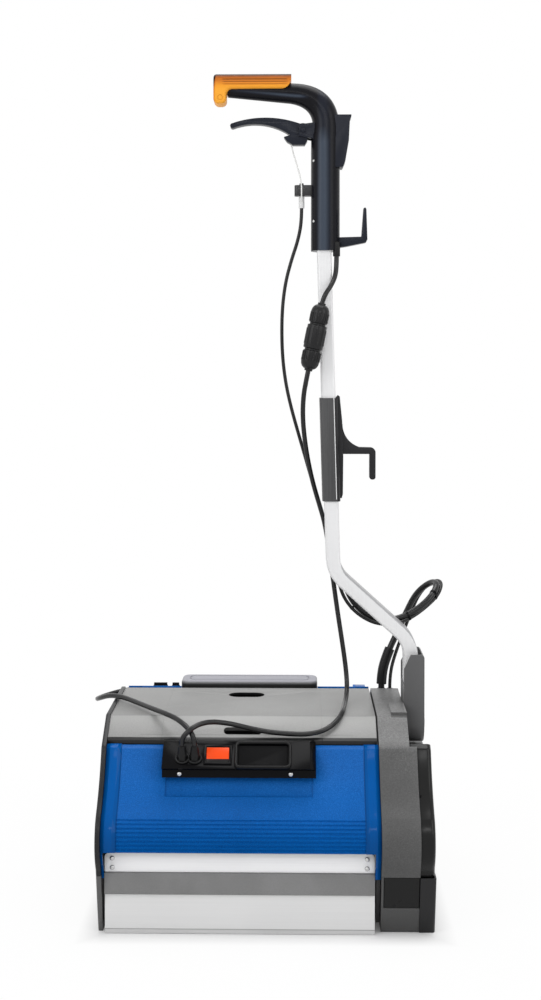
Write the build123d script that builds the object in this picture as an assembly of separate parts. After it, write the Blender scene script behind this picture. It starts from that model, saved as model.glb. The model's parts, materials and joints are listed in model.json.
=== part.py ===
from build123d import *
import math
import os

# Compact upright floor scrubber: two brush rollers across the width, a pick-up drum
# between them, and a tilting handle on the drive side.
# Millimetres. +X runs along the rollers towards the drive housing, +Y is the direction of
# travel away from the viewer, +Z is up. The origin is the centre of the footprint, on the floor.

# Overall body
body_width = 440.0
body_top = 266.0
deck_half = 82.0
shoulder_y, shoulder_z = 129.0, 234.0
waist_y, waist_z = 151.0, 193.0
brow_y, brow_z = 183.0, 158.0
nose_y, nose_z = 196.0, 124.0
chin_y, chin_z = 184.0, 88.0
foot_y, foot_z = 170.0, 34.0
sole_y = 160.0
shoulder_radius, brow_radius, chin_radius, foot_radius = 9.0, 12.0, 12.0, 20.0
seam_z = 80.0
seam_gap = 0.4
fit = 0.02
running = 0.06
clear = 0.3

# Stations along X
x_left = -body_width / 2
x_right = body_width / 2
end_plate = 6.5
bearing_plate = 5.0
plate_inset = 10.5
x_plate = x_left + end_plate
x_left_inner = x_plate + bearing_plate
housing_width = 50.0
tray_wall = 4.0
outer_cover_width = 19.0
lower_cover_width = 21.0
x_housing = x_right - lower_cover_width - housing_width
x_right_outer = x_housing - 1.0
x_right_inner = x_right_outer - bearing_plate
x_cover = x_housing + housing_width

# Rollers, drum and gear train (module and tooth counts set the centre distances)
brush_y = 97.0
bristle_radius = 59.0
core_radius = 20.0
spindle_radius = 8.0
floor_gap = 0.6
bristle_rows = 12
bristle_thick = 7.0
drum_gap = 1.0
drum_wall = 3.0
bearing_radius = 16.0
module = 2.5
pressure_angle = math.radians(20)
backlash = 0.3
brush_tooth_count, drum_tooth_count = 40, 48
drum_small_tooth_count, idler_rear_tooth_count, rear_tooth_count = 24, 22, 20
pinion_tooth_count, idler_tooth_count = 14, 16
gear_width = 9.0
gear_step = 13.0
gear_wall_gap = 2.0
motor_y, motor_z = -112.0, 160.0
motor_radius = 29.0
motor_length = 130.0
motor_shaft = 6.0
shaft_seat = 18.0

# Shell, tank and guards
shell_inset = 6.0
shell_wall = 3.5
front_bottom, rear_bottom = 113.0, 109.0
border_width = 20.0
border_rise = 1.0
border_bottom = 75.0
tank_half = 118.0
tank_inset = 1.5
lid_thick = 4.0
lid_gap = 2.0
bin_half = 80.0
bin_wall = 3.0
slot_length = 51.5
front_slot_y, front_slot_width = 14.0 - tank_half, 10.0
rear_slot_y, rear_slot_width = 39.0, 28.0
groove_count = 8
groove_low = 117.0
groove_radius = 1.3
guard_y = 168.0
guard_sheet = 1.6
guard_bottom = 0.8
bumper_z0, bumper_z1 = 53.0, 82.0
bumper_thick = 5.0
clamp_z1 = 107.0
clamp_thick = 2.5
screw_head = 2.5
guard_x0, guard_x1 = x_plate + 3.5, x_right_inner - 2.0
bar_depth = 8.0
bar_height = 20.0

# Control box
box_x0, box_x1 = -137.0, 65.0
box_mid = (box_x0 + box_x1) / 2
recess_half = 97.0
recess_depth = 2.0
recess_bottom = 176.0

# Handle
pivot_z = 240.0
pivot_radius = 8.0
bracket_x0, bracket_x1 = x_right - 30.5, x_right - 2.0
bracket_half = 30.0
bracket_top = 337.0
grip_top = 1149.0
column_bottom = grip_top - 247.5
tube_x, tube_y = 20.0, 32.0
tube_wall = 2.0
tube_corner = 3.5
tube_top = (77.3, column_bottom + 29.0)
tube_knee = (91.6, 450.0)
tube_heel = (x_right - 19.5, 352.0)
tube_foot = (x_right - 19.5, 262.0)
knee_radius, heel_radius = 45.0, 50.0
column_x, column_radius = 80.0, 20.3
grip_z = grip_top - 21.5
lever_x, lever_z = 48.5, grip_top - 79.0
lever_half = 8.0

# Values worked out from the sizes above
brush_z = bristle_radius + floor_gap
axis_distance = module * (brush_tooth_count + drum_tooth_count) / 2
drum_z = brush_z + math.sqrt(axis_distance ** 2 - brush_y ** 2)
drum_radius = axis_distance - bristle_radius - drum_gap
x_gear_rear = x_housing + tray_wall + gear_wall_gap
x_gear = x_gear_rear + gear_step
tank_bottom = drum_z + drum_radius + 7.0
dish_rise = 266.0
dish_z = 203.0 + dish_rise

os.makedirs("parts", exist_ok=True)


def save(name, shape):
    solids = shape.solids()
    export_step(solids[0] if len(solids) == 1 else Compound(children=solids), f"parts/{name}.step")


def along_x(face, x0, x1):
    return extrude(Plane.YZ.offset(x0) * face, amount=x1 - x0)


def across_y(face, y0, y1):
    return extrude(Plane.XZ.offset(-y0) * face, amount=-(y1 - y0))


def block(x0, x1, y0, y1, z0, z1):
    return Pos((x0 + x1) / 2, (y0 + y1) / 2, (z0 + z1) / 2) * Box(x1 - x0, y1 - y0, z1 - z0)


def rod_x(x0, x1, y, z, radius):
    return Pos(x0, y, z) * Rot(0, 90, 0) * Cylinder(
        radius, x1 - x0, align=(Align.CENTER, Align.CENTER, Align.MIN))


def rod_y(y0, y1, x, z, radius):
    return Pos(x, y0, z) * Rot(-90, 0, 0) * Cylinder(
        radius, y1 - y0, align=(Align.CENTER, Align.CENTER, Align.MIN))


def rod_z(z0, z1, x, y, radius):
    return Pos(x, y, z0) * Cylinder(radius, z1 - z0, align=(Align.CENTER, Align.CENTER, Align.MIN))


def polygon(*points):
    return make_face(Polyline(*points, close=True))


def body_outline(inset=0.0):
    """Side view of the body, the same fore and aft, drawn inwards by the inset."""
    half = Curve() + [
        Line((0, body_top), (deck_half, body_top)),
        Line((deck_half, body_top), (shoulder_y, shoulder_z)),
        ThreePointArc((shoulder_y, shoulder_z), (waist_y, waist_z), (brow_y, brow_z)),
        ThreePointArc((brow_y, brow_z), (nose_y, nose_z), (chin_y, chin_z)),
        Line((chin_y, chin_z), (foot_y, foot_z)),
        Line((foot_y, foot_z), (sole_y, 0)),
        Line((sole_y, 0), (0, 0)),
    ]
    face = make_face(half + mirror(half, Plane.YZ))
    for z, radius in ((shoulder_z, shoulder_radius), (brow_z, brow_radius), (chin_z, chin_radius),
                      (foot_z, foot_radius)):
        face = fillet([v for v in face.vertices() if abs(v.Y - z) < 0.01 and abs(v.X) > deck_half], radius)
    return offset(face, -inset) if inset else face


def above(z):
    return block(-600, 600, -600, 600, z, 2000)


def below(z):
    return block(-600, 600, -600, 600, -500, z)


def shell_band(x0, x1, inset, wall):
    return along_x(body_outline(inset), x0, x1) - along_x(body_outline(inset + wall), x0 - 1, x1 + 1)


def slab(x0, x1, inset, rim_radius, outer):
    """Full side profile as a slab, with a rounded rim on its outer face (-1 left, 1 right)."""
    plate = along_x(body_outline(inset), x0, x1)
    face = plate.faces().sort_by(Axis.X)[0 if outer < 0 else -1]
    return fillet(face.edges().filter_by(lambda e: e.center().Z > inset + 1), rim_radius)


# Left end
def left_end_plate():
    return slab(x_left, x_plate, 0, 2.5, -1) & above(seam_z)


def left_lower_plate():
    return slab(x_left, x_plate, 0, 2.5, -1) & below(seam_z - seam_gap)


roller_axes = [(-brush_y, brush_z), (brush_y, brush_z), (0.0, drum_z)]


def bearing_carrier(x0, x1):
    reach = guard_y - guard_sheet / 2
    plate = along_x(body_outline(plate_inset), x0, x1) & block(-600, 600, -reach, reach, 0, 600)
    for y, z in roller_axes:
        plate -= rod_x(x0 - 1, x1 + 1, y, z, bearing_radius + fit)
    return plate


def left_bearing_plate():
    return bearing_carrier(x_plate, x_left_inner)


def right_bearing_plate():
    plate = bearing_carrier(x_right_inner, x_right_outer)
    return plate - rod_x(x_right_inner - 1, x_right_outer + 1, motor_y, motor_z, spindle_radius + 2)


def bearings(x0, x1):
    rings = []
    for y, z in roller_axes:
        rings += (rod_x(x0, x1, y, z, bearing_radius) - rod_x(x0 - 1, x1 + 1, y, z,
                                                              spindle_radius + running)).solids()
    return Compound(children=rings)


def cross_bar(side):
    y0 = guard_y - guard_sheet / 2 - bar_depth
    y1 = guard_y - guard_sheet / 2
    bar = block(x_left_inner, x_right_inner, y0, y1, clamp_z1 - bar_height - 2, clamp_z1 - 2)
    bar -= block(x_left_inner + 12, x_right_inner - 12, y0 - 1, y1 - 2.5,
                 clamp_z1 - bar_height + 2, clamp_z1 - 6)
    return bar if side > 0 else mirror(bar, Plane.XZ)


# Rollers
roller_x0 = x_left_inner + 4.0
roller_x1 = x_right_inner - 4.0


def brush_spindle(y, shaft_end):
    shaft = rod_x(x_plate + 0.5, shaft_end, y, brush_z, spindle_radius)
    return shaft + rod_x(roller_x0, roller_x1, y, brush_z, core_radius)


def brush_bristles(y):
    sleeve_radius = core_radius + 4.0
    bristles = rod_x(roller_x0, roller_x1, y, brush_z, sleeve_radius)
    for row in range(bristle_rows):
        strip = block(roller_x0, roller_x1, -bristle_thick / 2, bristle_thick / 2,
                      sleeve_radius - 2, bristle_radius)
        bristles += Pos(0, y, brush_z) * Rot(row * 360 / bristle_rows, 0, 0) * strip
    reach = rod_x(roller_x0, roller_x1, y, brush_z, bristle_radius)
    return (bristles & reach) - rod_x(roller_x0 - 1, roller_x1 + 1, y, brush_z, core_radius + fit)


def pickup_drum():
    middle = (roller_x0 + roller_x1) / 2
    rim = rod_x(roller_x0, roller_x1, 0, drum_z, drum_radius)
    rim -= rod_x(roller_x0 - 1, roller_x1 + 1, 0, drum_z, drum_radius - drum_wall)
    web = rod_x(middle - drum_wall, middle + drum_wall, 0, drum_z, drum_radius - drum_wall / 2)
    shaft = rod_x(x_plate + 0.5, x_gear + gear_width, 0, drum_z, spindle_radius)
    return rim + web + shaft


def scraper():
    blade_y = 0.4 * drum_radius
    tip_z = drum_z + math.sqrt(drum_radius ** 2 - blade_y ** 2) + clear
    profile = polygon((blade_y, tip_z + 0.6), (blade_y + 2.5, tip_z + 0.2),
                      (blade_y + 14, tank_bottom), (blade_y + 2, tank_bottom))
    return along_x(profile, roller_x0, roller_x1)


# Drive
def gear(teeth, phase, y, z, x0, bore):
    """Spur gear with involute flanks taken at the root, the pitch circle and the tip."""
    pitch = module * teeth / 2
    base = pitch * math.cos(pressure_angle)
    tip = pitch + 0.8 * module
    root = pitch - 1.15 * module

    def involute(radius):
        angle = math.acos(min(1.0, base / radius))
        return math.tan(angle) - angle

    def half_angle(radius):
        at_pitch = (math.pi * module / 2 - backlash) / 2 / pitch
        return at_pitch + involute(pitch) - involute(radius)

    points = []
    for tooth in range(teeth):
        centre = phase + tooth * 2 * math.pi / teeth
        flank = [(radius, half_angle(radius)) for radius in (root, pitch, tip)]
        around = [(r, -a) for r, a in flank] + [(r, a) for r, a in reversed(flank)]
        points += [(r * math.cos(centre + a), r * math.sin(centre + a)) for r, a in around]
    face = Pos(y, z) * (polygon(*points) - Circle(bore))
    return along_x(face, x0, x0 + gear_width)


def meshed_phase(a_tooth_count, phase_a, at_a, b_tooth_count, at_b):
    """Phase of gear b that puts its gap on the tooth of gear a along the line of centres."""
    line = math.atan2(at_b[1] - at_a[1], at_b[0] - at_a[0])
    passed = (line - phase_a) * a_tooth_count / (2 * math.pi)
    return line + math.pi - (2 * math.pi / b_tooth_count) * (0.5 - passed)


def idler_place():
    """The idler touches the motor pinion and the front brush gear, on the outer side."""
    pinion = (motor_y, motor_z)
    brush = (-brush_y, brush_z)
    ra = module * (pinion_tooth_count + idler_tooth_count) / 2
    rb = module * (brush_tooth_count + idler_tooth_count) / 2
    dy, dz = brush[0] - pinion[0], brush[1] - pinion[1]
    span = math.hypot(dy, dz)
    reach = (ra ** 2 - rb ** 2 + span ** 2) / (2 * span)
    side = math.sqrt(ra ** 2 - reach ** 2)
    return (pinion[0] + (reach * dy + side * dz) / span, pinion[1] + (reach * dz - side * dy) / span)


front_axis = (-brush_y, brush_z)
rear_axis = (brush_y, brush_z)
drum_axis = (0.0, drum_z)
pinion_axis = (motor_y, motor_z)
idler_axis = idler_place()
rear_share = (drum_small_tooth_count + idler_rear_tooth_count) / (brush_tooth_count + drum_tooth_count)
rear_idler_axis = (brush_y * rear_share, drum_z + (brush_z - drum_z) * rear_share)
front_phase = 0.0
drum_phase = meshed_phase(brush_tooth_count, front_phase, front_axis, drum_tooth_count, drum_axis)
rear_idler_phase = meshed_phase(drum_small_tooth_count, drum_phase, drum_axis, idler_rear_tooth_count,
                                rear_idler_axis)
rear_phase = meshed_phase(idler_rear_tooth_count, rear_idler_phase, rear_idler_axis, rear_tooth_count,
                          rear_axis)
idler_phase = meshed_phase(brush_tooth_count, front_phase, front_axis, idler_tooth_count, idler_axis)
pinion_phase = meshed_phase(idler_tooth_count, idler_phase, idler_axis, pinion_tooth_count, pinion_axis)
stud_radius = 6.0


def front_brush_gear():
    return gear(brush_tooth_count, front_phase, *front_axis, x_gear, spindle_radius - 1)


def drum_gear():
    large = gear(drum_tooth_count, drum_phase, *drum_axis, x_gear, spindle_radius + fit)
    small = gear(drum_small_tooth_count, drum_phase, *drum_axis, x_gear_rear, spindle_radius + fit)
    hub = rod_x(x_gear_rear + gear_width - 0.5, x_gear + 0.5, *drum_axis, spindle_radius + 6)
    return large + small + (hub - rod_x(x_gear_rear, x_gear + 1, *drum_axis, spindle_radius + fit))


def rear_idler():
    return gear(idler_rear_tooth_count, rear_idler_phase, *rear_idler_axis, x_gear_rear, stud_radius + running)


def rear_brush_gear():
    return gear(rear_tooth_count, rear_phase, *rear_axis, x_gear_rear, spindle_radius - 1)


def front_idler():
    return gear(idler_tooth_count, idler_phase, *idler_axis, x_gear, stud_radius + running)


def motor_pinion():
    toothed = gear(pinion_tooth_count, pinion_phase, *pinion_axis, x_gear, motor_shaft - 1)
    return toothed + rod_x(x_right_inner - shaft_seat, x_gear + gear_width, *pinion_axis, motor_shaft)


def idler_studs():
    front = rod_x(x_housing + tray_wall, x_gear + gear_width, *idler_axis, stud_radius)
    rear = rod_x(x_housing + tray_wall, x_gear_rear + gear_width, *rear_idler_axis, stud_radius)
    return Compound(children=front.solids() + rear.solids())


def motor():
    body = rod_x(x_right_inner - motor_length, x_right_inner, motor_y, motor_z, motor_radius)
    cap = rod_x(x_right_inner - motor_length - 12, x_right_inner - motor_length, motor_y, motor_z,
                motor_radius - 8)
    return body + cap - rod_x(x_right_inner - shaft_seat - 2, x_right_inner + 1, *pinion_axis, motor_shaft + running)


# Drive housing
def dish(x0, x1, grow=0.0):
    """The saddle under the handle bracket: everything inside this cylinder is open air."""
    return rod_x(x0, x1, 0, dish_z, dish_rise + grow)


bracket_wall = 4.0
x_bracket_wall = bracket_x0 - clear
housing_inset = 1.0
block_z0 = 36.0
block_depth = 34.0


def housing_body():
    upper = along_x(body_outline(housing_inset), x_housing, x_bracket_wall)
    lower = along_x(body_outline(housing_inset), x_bracket_wall, x_cover) - dish(x_bracket_wall - 1, x_cover + 1)
    hollow = along_x(body_outline(housing_inset + tray_wall), x_housing + tray_wall, x_bracket_wall - bracket_wall)
    hollow += along_x(body_outline(housing_inset + tray_wall), x_bracket_wall - bracket_wall - 0.5, x_cover + 1) \
        - dish(x_bracket_wall - bracket_wall - 1, x_cover + 2, tray_wall)
    body = upper + lower - hollow
    for y, z in roller_axes:
        body -= rod_x(x_housing - 1, x_housing + tray_wall + 1, y, z, spindle_radius + 2)
    return body - rod_x(x_housing - 1, x_housing + tray_wall + 1, motor_y, motor_z, spindle_radius + 2)


cord_ports = [(x_housing + 16.5, 91.0, 6.0), (x_housing + 29.0, 91.0, 4.5)]
bush_wall = 3.0


def drive_housing():
    boss = rod_x(x_bracket_wall - 18, x_bracket_wall - 1, 0, pivot_z, pivot_radius + bush_wall + 2.5)
    body = (housing_body() & above(seam_z)) + boss
    body -= rod_x(x_bracket_wall - 19, x_bracket_wall + 1, 0, pivot_z, pivot_radius + bush_wall + fit)
    ledge = block(x_housing + 19, x_bracket_wall, 2.0 - deck_half, -22, body_top - housing_inset - 1, body_top + 3)
    body += ledge
    for x, y, radius in cord_ports:
        body -= rod_z(body_top - 30, body_top + 5, x, y, radius + fit)
    return body


def gear_cover_space(side, shrink=0.0):
    edge = foot_y + 30
    inner = edge - block_depth - 14 + shrink
    space = block(x_housing + 3 + shrink, x_cover - shrink, inner, edge, block_z0 + shrink, seam_z - seam_gap + 1)
    return space if side > 0 else mirror(space, Plane.XZ)


def drive_housing_lower():
    body = housing_body() & below(seam_z - seam_gap)
    return body - gear_cover_space(1) - gear_cover_space(-1)


def gear_cover(side):
    solid = along_x(body_outline(housing_inset), x_housing, x_cover) & gear_cover_space(side, seam_gap / 2)
    solid &= below(seam_z - seam_gap)
    corners = solid.edges().filter_by(lambda e: abs(e.center().Y) > foot_y and abs((e % 0.5).X) < 0.1)
    return fillet(corners, 2.0)


def pivot_bush():
    ring = rod_x(x_bracket_wall - 19, x_bracket_wall, 0, pivot_z, pivot_radius + bush_wall)
    return ring - rod_x(x_bracket_wall - 20, x_bracket_wall + 1, 0, pivot_z, pivot_radius + running)


lip_height = 5.0
cover_inset = 3.0
cover_wall = 3.0
cover_round = 6.0


def outer_cover():
    """Upper cover of the drive housing, with a saddle lip that reaches in under the handle bracket."""
    x1 = x_cover + outer_cover_width
    solid = slab(x_cover, x1, cover_inset, cover_round, 1) - dish(x_cover - 1, x1 + 1, -lip_height)
    hollow = along_x(body_outline(cover_inset + cover_wall), x_cover - 1, x1 - cover_wall)
    hollow -= dish(x_cover - 2, x1, cover_wall - lip_height)
    lip = along_x(body_outline(cover_inset), x_bracket_wall + 1, x_cover) & dish(x_bracket_wall, x_cover + 1)
    lip -= dish(x_bracket_wall, x_cover + 1, -lip_height)
    return ((solid - hollow) & above(seam_z)) + lip


def outer_cover_lower():
    solid = slab(x_cover, x_right, 0, 4.0, 1)
    hollow = along_x(body_outline(cover_wall), x_cover - 1, x_right - cover_wall)
    return (solid - hollow) & below(seam_z - seam_gap)


# Shells and tank
shell_x0 = x_plate + 0.2
shell_x1 = x_housing - 0.5


def nose_grooves():
    """Parallel grooves that follow the round nose of the shell."""
    arc = ThreePointArc((brow_y, brow_z), (nose_y, nose_z), (chin_y, chin_z))
    centre = arc.arc_center
    radius = arc.radius - shell_inset
    first = math.asin((groove_low - centre.Y) / radius)
    last = math.asin((brow_z - 6 - centre.Y) / radius)
    cuts = []
    for step in range(groove_count):
        angle = first + (last - first) * step / (groove_count - 1)
        cuts.append(rod_x(shell_x0 + border_width, shell_x1 - border_width, centre.X + radius * math.cos(angle),
                          centre.Y + radius * math.sin(angle), groove_radius))
    return cuts


def shell_skin(bottom):
    """Rear half of the moulded cover: a smooth raised border at each end and a grooved nose."""
    keep = block(-600, 600, tank_half + clear, 600, bottom, 600)
    skin = shell_band(shell_x0, shell_x1, shell_inset, shell_wall)
    ends = shell_band(shell_x0, shell_x0 + border_width, shell_inset - border_rise, shell_wall)
    ends += shell_band(shell_x1 - border_width, shell_x1, shell_inset - border_rise, shell_wall)
    skin = (skin + ends) & keep
    for x0, x1 in ((shell_x0, guard_x0 - clear), (guard_x1 + clear, shell_x1)):
        skin += shell_band(x0, x1, shell_inset - border_rise, shell_wall) & block(
            -600, 600, guard_y, 600, border_bottom, bottom + 1)
    for cut in nose_grooves():
        skin -= cut
    return skin


def end_ribs(bottom):
    """Screw ribs inside the cover, one against each bearing plate."""
    keep = block(-600, 600, tank_half + 4, 600, bottom + 4, 600)
    web = along_x(body_outline(shell_inset + shell_wall - 0.5), x_left_inner + clear, x_left_inner + clear + 3)
    web += along_x(body_outline(shell_inset + shell_wall - 0.5), x_right_inner - clear - 3, x_right_inner - clear)
    inner = along_x(body_outline(shell_inset + shell_wall + 9), x_left, x_right)
    return (web - inner) & keep


def front_shell():
    shell = mirror(shell_skin(front_bottom) + end_ribs(front_bottom), Plane.XZ)
    pocket = along_x(body_outline(shell_inset - 3), box_mid - recess_half, box_mid + recess_half)
    pocket -= along_x(body_outline(shell_inset + recess_depth), x_left, x_right)
    return shell - (pocket & block(-600, 600, -600, 0, recess_bottom, 600))


filler = (x_left + 54.0, tank_half + 13.0, 11.0)
vent = (x_left + 77.0, tank_half + 13.0, 6.0)
neck_top = 250.0
cap_height = 14.0
cap_top = neck_top + 8.0
knob_height = 3.0
bump_x = x_housing - 15.0
handle_x0, handle_x1 = vent[0] + vent[2] + 4.0, x_housing - 78.0
handle_y0, handle_y1 = tank_half - 12.0, tank_half + 37.0
handle_z0, handle_z1 = 257.0, 269.0
handle_post = 20.0


def rear_shell():
    shell = shell_skin(rear_bottom) + end_ribs(rear_bottom)
    under = along_x(body_outline(shell_inset + 1), x_left, x_right)
    posts = block(handle_x0, handle_x0 + handle_post, tank_half + clear, handle_y1 - 4, 200, handle_z0)
    posts += block(handle_x1 - handle_post, handle_x1, tank_half + clear, handle_y1 - 4, 200, handle_z0)
    shell += posts - under
    for x, y, radius in (filler, vent):
        shell += rod_z(200, neck_top, x, y, radius - 3) - under
    bump = block(bump_x - 9, bump_x + 9, tank_half + clear, tank_half + 18, 200, cap_top)
    shell += bump - under
    return shell


def carry_handle():
    plate = block(handle_x0, handle_x1, handle_y0, handle_y1, handle_z0, handle_z1)
    plate = fillet(plate.edges().filter_by(Axis.Z), 12)
    plate = fillet(plate.faces().sort_by(Axis.Z)[-1].edges(), 4)
    middle = Pos((handle_x0 + handle_x1) / 2, (handle_y0 + handle_y1) / 2, handle_z1)
    ring = RectangleRounded(handle_x1 - handle_x0 - 24, handle_y1 - handle_y0 - 18, 10)
    ring -= offset(ring, -2)
    return plate - extrude(middle * ring, amount=-1)


def cap(x, y, radius):
    body = rod_z(cap_top - cap_height, cap_top, x, y, radius)
    body -= rod_z(cap_top - cap_height - 1, neck_top + running, x, y, radius - 3 + 0.1)
    knob = block(x - radius + 1, x + radius - 1, y - 2, y + 2, cap_top - 1, cap_top + knob_height)
    return fillet(body.faces().sort_by(Axis.Z)[-1].edges(), 1.5) + knob


def recovery_tank():
    x0, x1 = x_left_inner + 2, x_right_inner - 2
    bin_solid = block(x0, x1, -bin_half, bin_half, tank_bottom, body_top - tank_inset - lid_thick)
    bin_solid -= block(x0 + bin_wall, x1 - bin_wall, -bin_half + bin_wall, bin_half - bin_wall,
                       tank_bottom + bin_wall, body_top)
    mouth_y = 0.4 * drum_radius
    return bin_solid - block(x0 + 8, x1 - 8, mouth_y - 22, mouth_y - 4, tank_bottom - 1, tank_bottom + bin_wall + 1)


def tank_lid():
    lid = shell_band(shell_x0, shell_x1 - lid_gap, tank_inset, lid_thick)
    lid &= block(-600, 600, -tank_half, tank_half, 200, 400)
    for y, width in ((front_slot_y, front_slot_width), (rear_slot_y, rear_slot_width)):
        at = Pos((shell_x0 + shell_x1) / 2, y, 200)
        lid -= extrude(at * SlotOverall(slot_length, width), amount=100)
    return lid


# Guards
def guard_panel(side):
    face = block(guard_x0, guard_x1, guard_y - guard_sheet / 2, guard_y + guard_sheet / 2, guard_bottom, clamp_z1)
    lip = block(guard_x0, guard_x1, guard_y - 8, guard_y, guard_bottom, guard_bottom + guard_sheet)
    panel = face + lip
    return panel if side > 0 else mirror(panel, Plane.XZ)


def bumper_strip(side):
    y0 = guard_y + guard_sheet / 2
    strip = block(guard_x0, guard_x1, y0, y0 + bumper_thick, bumper_z0, bumper_z1)
    strip = fillet(strip.faces().sort_by(Axis.Y)[-1].edges().filter_by(Axis.X), 2)
    return strip if side > 0 else mirror(strip, Plane.XZ)


def clamp_strip(side):
    y0 = guard_y + guard_sheet / 2
    strip = block(guard_x0, guard_x1, y0, y0 + clamp_thick, bumper_z1, clamp_z1)
    corners = strip.edges().filter_by(Axis.Y).group_by(Axis.Z)[-1]
    strip = fillet(corners, 6)
    return strip if side > 0 else mirror(strip, Plane.XZ)


def guard_screws():
    screws = []
    y0 = guard_y + guard_sheet / 2 + clamp_thick
    for x in (guard_x0 + 10, guard_x1 - 10):
        for z in (clamp_z1 - 7, clamp_z1 - 19):
            head = rod_y(y0, y0 + screw_head, x, z, 3.2)
            screws += fillet(head.faces().sort_by(Axis.Y)[-1].edges(), 1).solids()
    return screws + [mirror(screw, Plane.XZ) for screw in screws]


# Control box on the front slope
rocker_x, rocker_half = -64.0, 17.0
rocker_length = 24.0
rocker_depth = 11.0
rocker_wall = 2.0
rocker_axle_d = -3.5
rocker_pin = 1.5
lid_x0, lid_x1 = -37.5, 28.5
lid_length = 34.0
lid_recess = 6.0
lid_thick_d = 3.0
lid_frame = 3.0
hinge_radius = 2.0
hinge_pin = 1.0
hinge_reach = 2.0
box_top_y, box_top_z = -tank_half - 9.0, 241.0
box_low_y, box_low_z = box_top_y - 34.0, 214.0
flange_low_z = 200.0
flange_step = 8.0
gland_xs = (-110.5, -94.0)
box_screw_xs = (-114.0, 32.0)
gland_v = -6.0
gland_radius = 7.5
gland_nut = 6.0
gland_height = 20.0
gland_lean = (0, -0.3, 1)
lead_radius = 3.5
rear_gland = (x_left + 34.0, tank_half + 8.0, 243.0)
cord_port_z = 263.0
box_back_y = -tank_half - clear
slope = (0, box_top_y - box_low_y, box_top_z - box_low_z)
face_length = math.hypot(slope[1], slope[2])
face_centre = (0, (box_top_y + box_low_y) / 2, (box_top_z + box_low_z) / 2)
box_face = Plane(origin=face_centre, x_dir=(1, 0, 0), z_dir=(0, -slope[2], slope[1]))
box_side = Plane(origin=face_centre, x_dir=slope, z_dir=(1, 0, 0))
lid_v1 = face_length / 2 - 6.0
lid_v0 = lid_v1 - lid_length
hinge_v = lid_v1 - hinge_radius
hinge_d = -lid_thick_d / 2


def on_face(x0, x1, v0, v1, d0, d1):
    """Block on the sloping face: x along the box, v up the slope, d outwards."""
    at = Pos((x0 + x1) / 2, (v0 + v1) / 2, (d0 + d1) / 2)
    return box_face * at * Box(x1 - x0, v1 - v0, d1 - d0)


def face_rod(x0, x1, v, d, radius):
    at = Pos((x0 + x1) / 2, v, d) * Rot(0, 90, 0)
    return box_face * at * Cylinder(radius, x1 - x0)


def box_profile():
    return polygon((box_back_y, box_top_z), (box_top_y, box_top_z), (box_low_y, box_low_z),
                   (box_low_y + flange_step, box_low_z - 4), (box_low_y + flange_step, flange_low_z),
                   (box_back_y, flange_low_z))


def gland_plane(x):
    """Strain reliefs stand nearly upright on the sloping face."""
    foot = box_face.from_local_coords((x, gland_v, 0))
    return Plane(origin=foot, x_dir=(1, 0, 0), z_dir=gland_lean)


def gland_tip(x, beyond=0.0):
    tip = gland_plane(x).from_local_coords((0, 0, gland_height + beyond))
    return (tip.X, tip.Y, tip.Z)


def control_box():
    solid = along_x(box_profile(), box_x0, box_x1)
    solid = chamfer(solid.edges().filter_by(lambda e: e.center().X > box_x1 - 1 and e.center().Z > box_low_z
                                            and box_low_y < e.center().Y < box_top_y), flange_step)
    solid -= along_x(body_outline(shell_inset), x_left, x_right)
    plug = along_x(body_outline(shell_inset - 1), box_mid - recess_half + clear, box_mid + recess_half - clear)
    plug -= along_x(body_outline(shell_inset + recess_depth), x_left, x_right)
    solid += plug & block(-600, 600, -600, box_back_y, flange_low_z, box_top_z - 6)
    frame = on_face(lid_x0 - lid_frame, lid_x1 + lid_frame, lid_v0 - lid_frame, lid_v1 + lid_frame, -1, 2)
    solid += frame
    solid -= on_face(lid_x0, lid_x1, lid_v0 - clear, lid_v1 + 1, -lid_recess, 5)
    solid -= on_face(rocker_x - rocker_half, rocker_x + rocker_half, -rocker_length / 2 - rocker_wall,
                     rocker_length / 2 + rocker_wall, -rocker_depth - rocker_wall, 5)
    solid -= face_rod(lid_x0 - hinge_reach, lid_x1 + hinge_reach, hinge_v, hinge_d, hinge_pin + running)
    return solid


def lead_glands():
    """Strain reliefs on the control box, the lead's entry in the rear shell and the two cord ports."""
    glands = []
    face_side = along_x(box_profile(), box_x0, box_x1)
    for x in gland_xs:
        nut = extrude(RegularPolygon(gland_radius, 6), amount=gland_nut + 8)
        dome = Pos(0, 0, gland_nut + 8) * Cone(gland_radius - 1, lead_radius + 1, gland_height - gland_nut,
                                               align=(Align.CENTER, Align.CENTER, Align.MIN))
        glands += (gland_plane(x) * Pos(0, 0, -8) * (nut + dome) - face_side).solids()
    x, y, z = rear_gland
    entry = rod_z(z - 30, z - 6, x, y, lead_radius + 2.5) + rod_z(z - 6.5, z, x, y, lead_radius + 1)
    glands += (entry - along_x(body_outline(shell_inset), x_left, x_right)).solids()
    for x, y, radius in cord_ports:
        glands += rod_z(body_top - 14, cord_port_z, x, y, radius).solids()
    return Compound(children=glands)


def cover_screws():
    screws = guard_screws()
    y0 = box_low_y + flange_step
    for x in box_screw_xs:
        head = rod_y(y0 - screw_head, y0, x, flange_low_z + 5, 3.6)
        screws += fillet(head.faces().sort_by(Axis.Y)[0].edges(), 1).solids()
    return Compound(children=screws)


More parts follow.
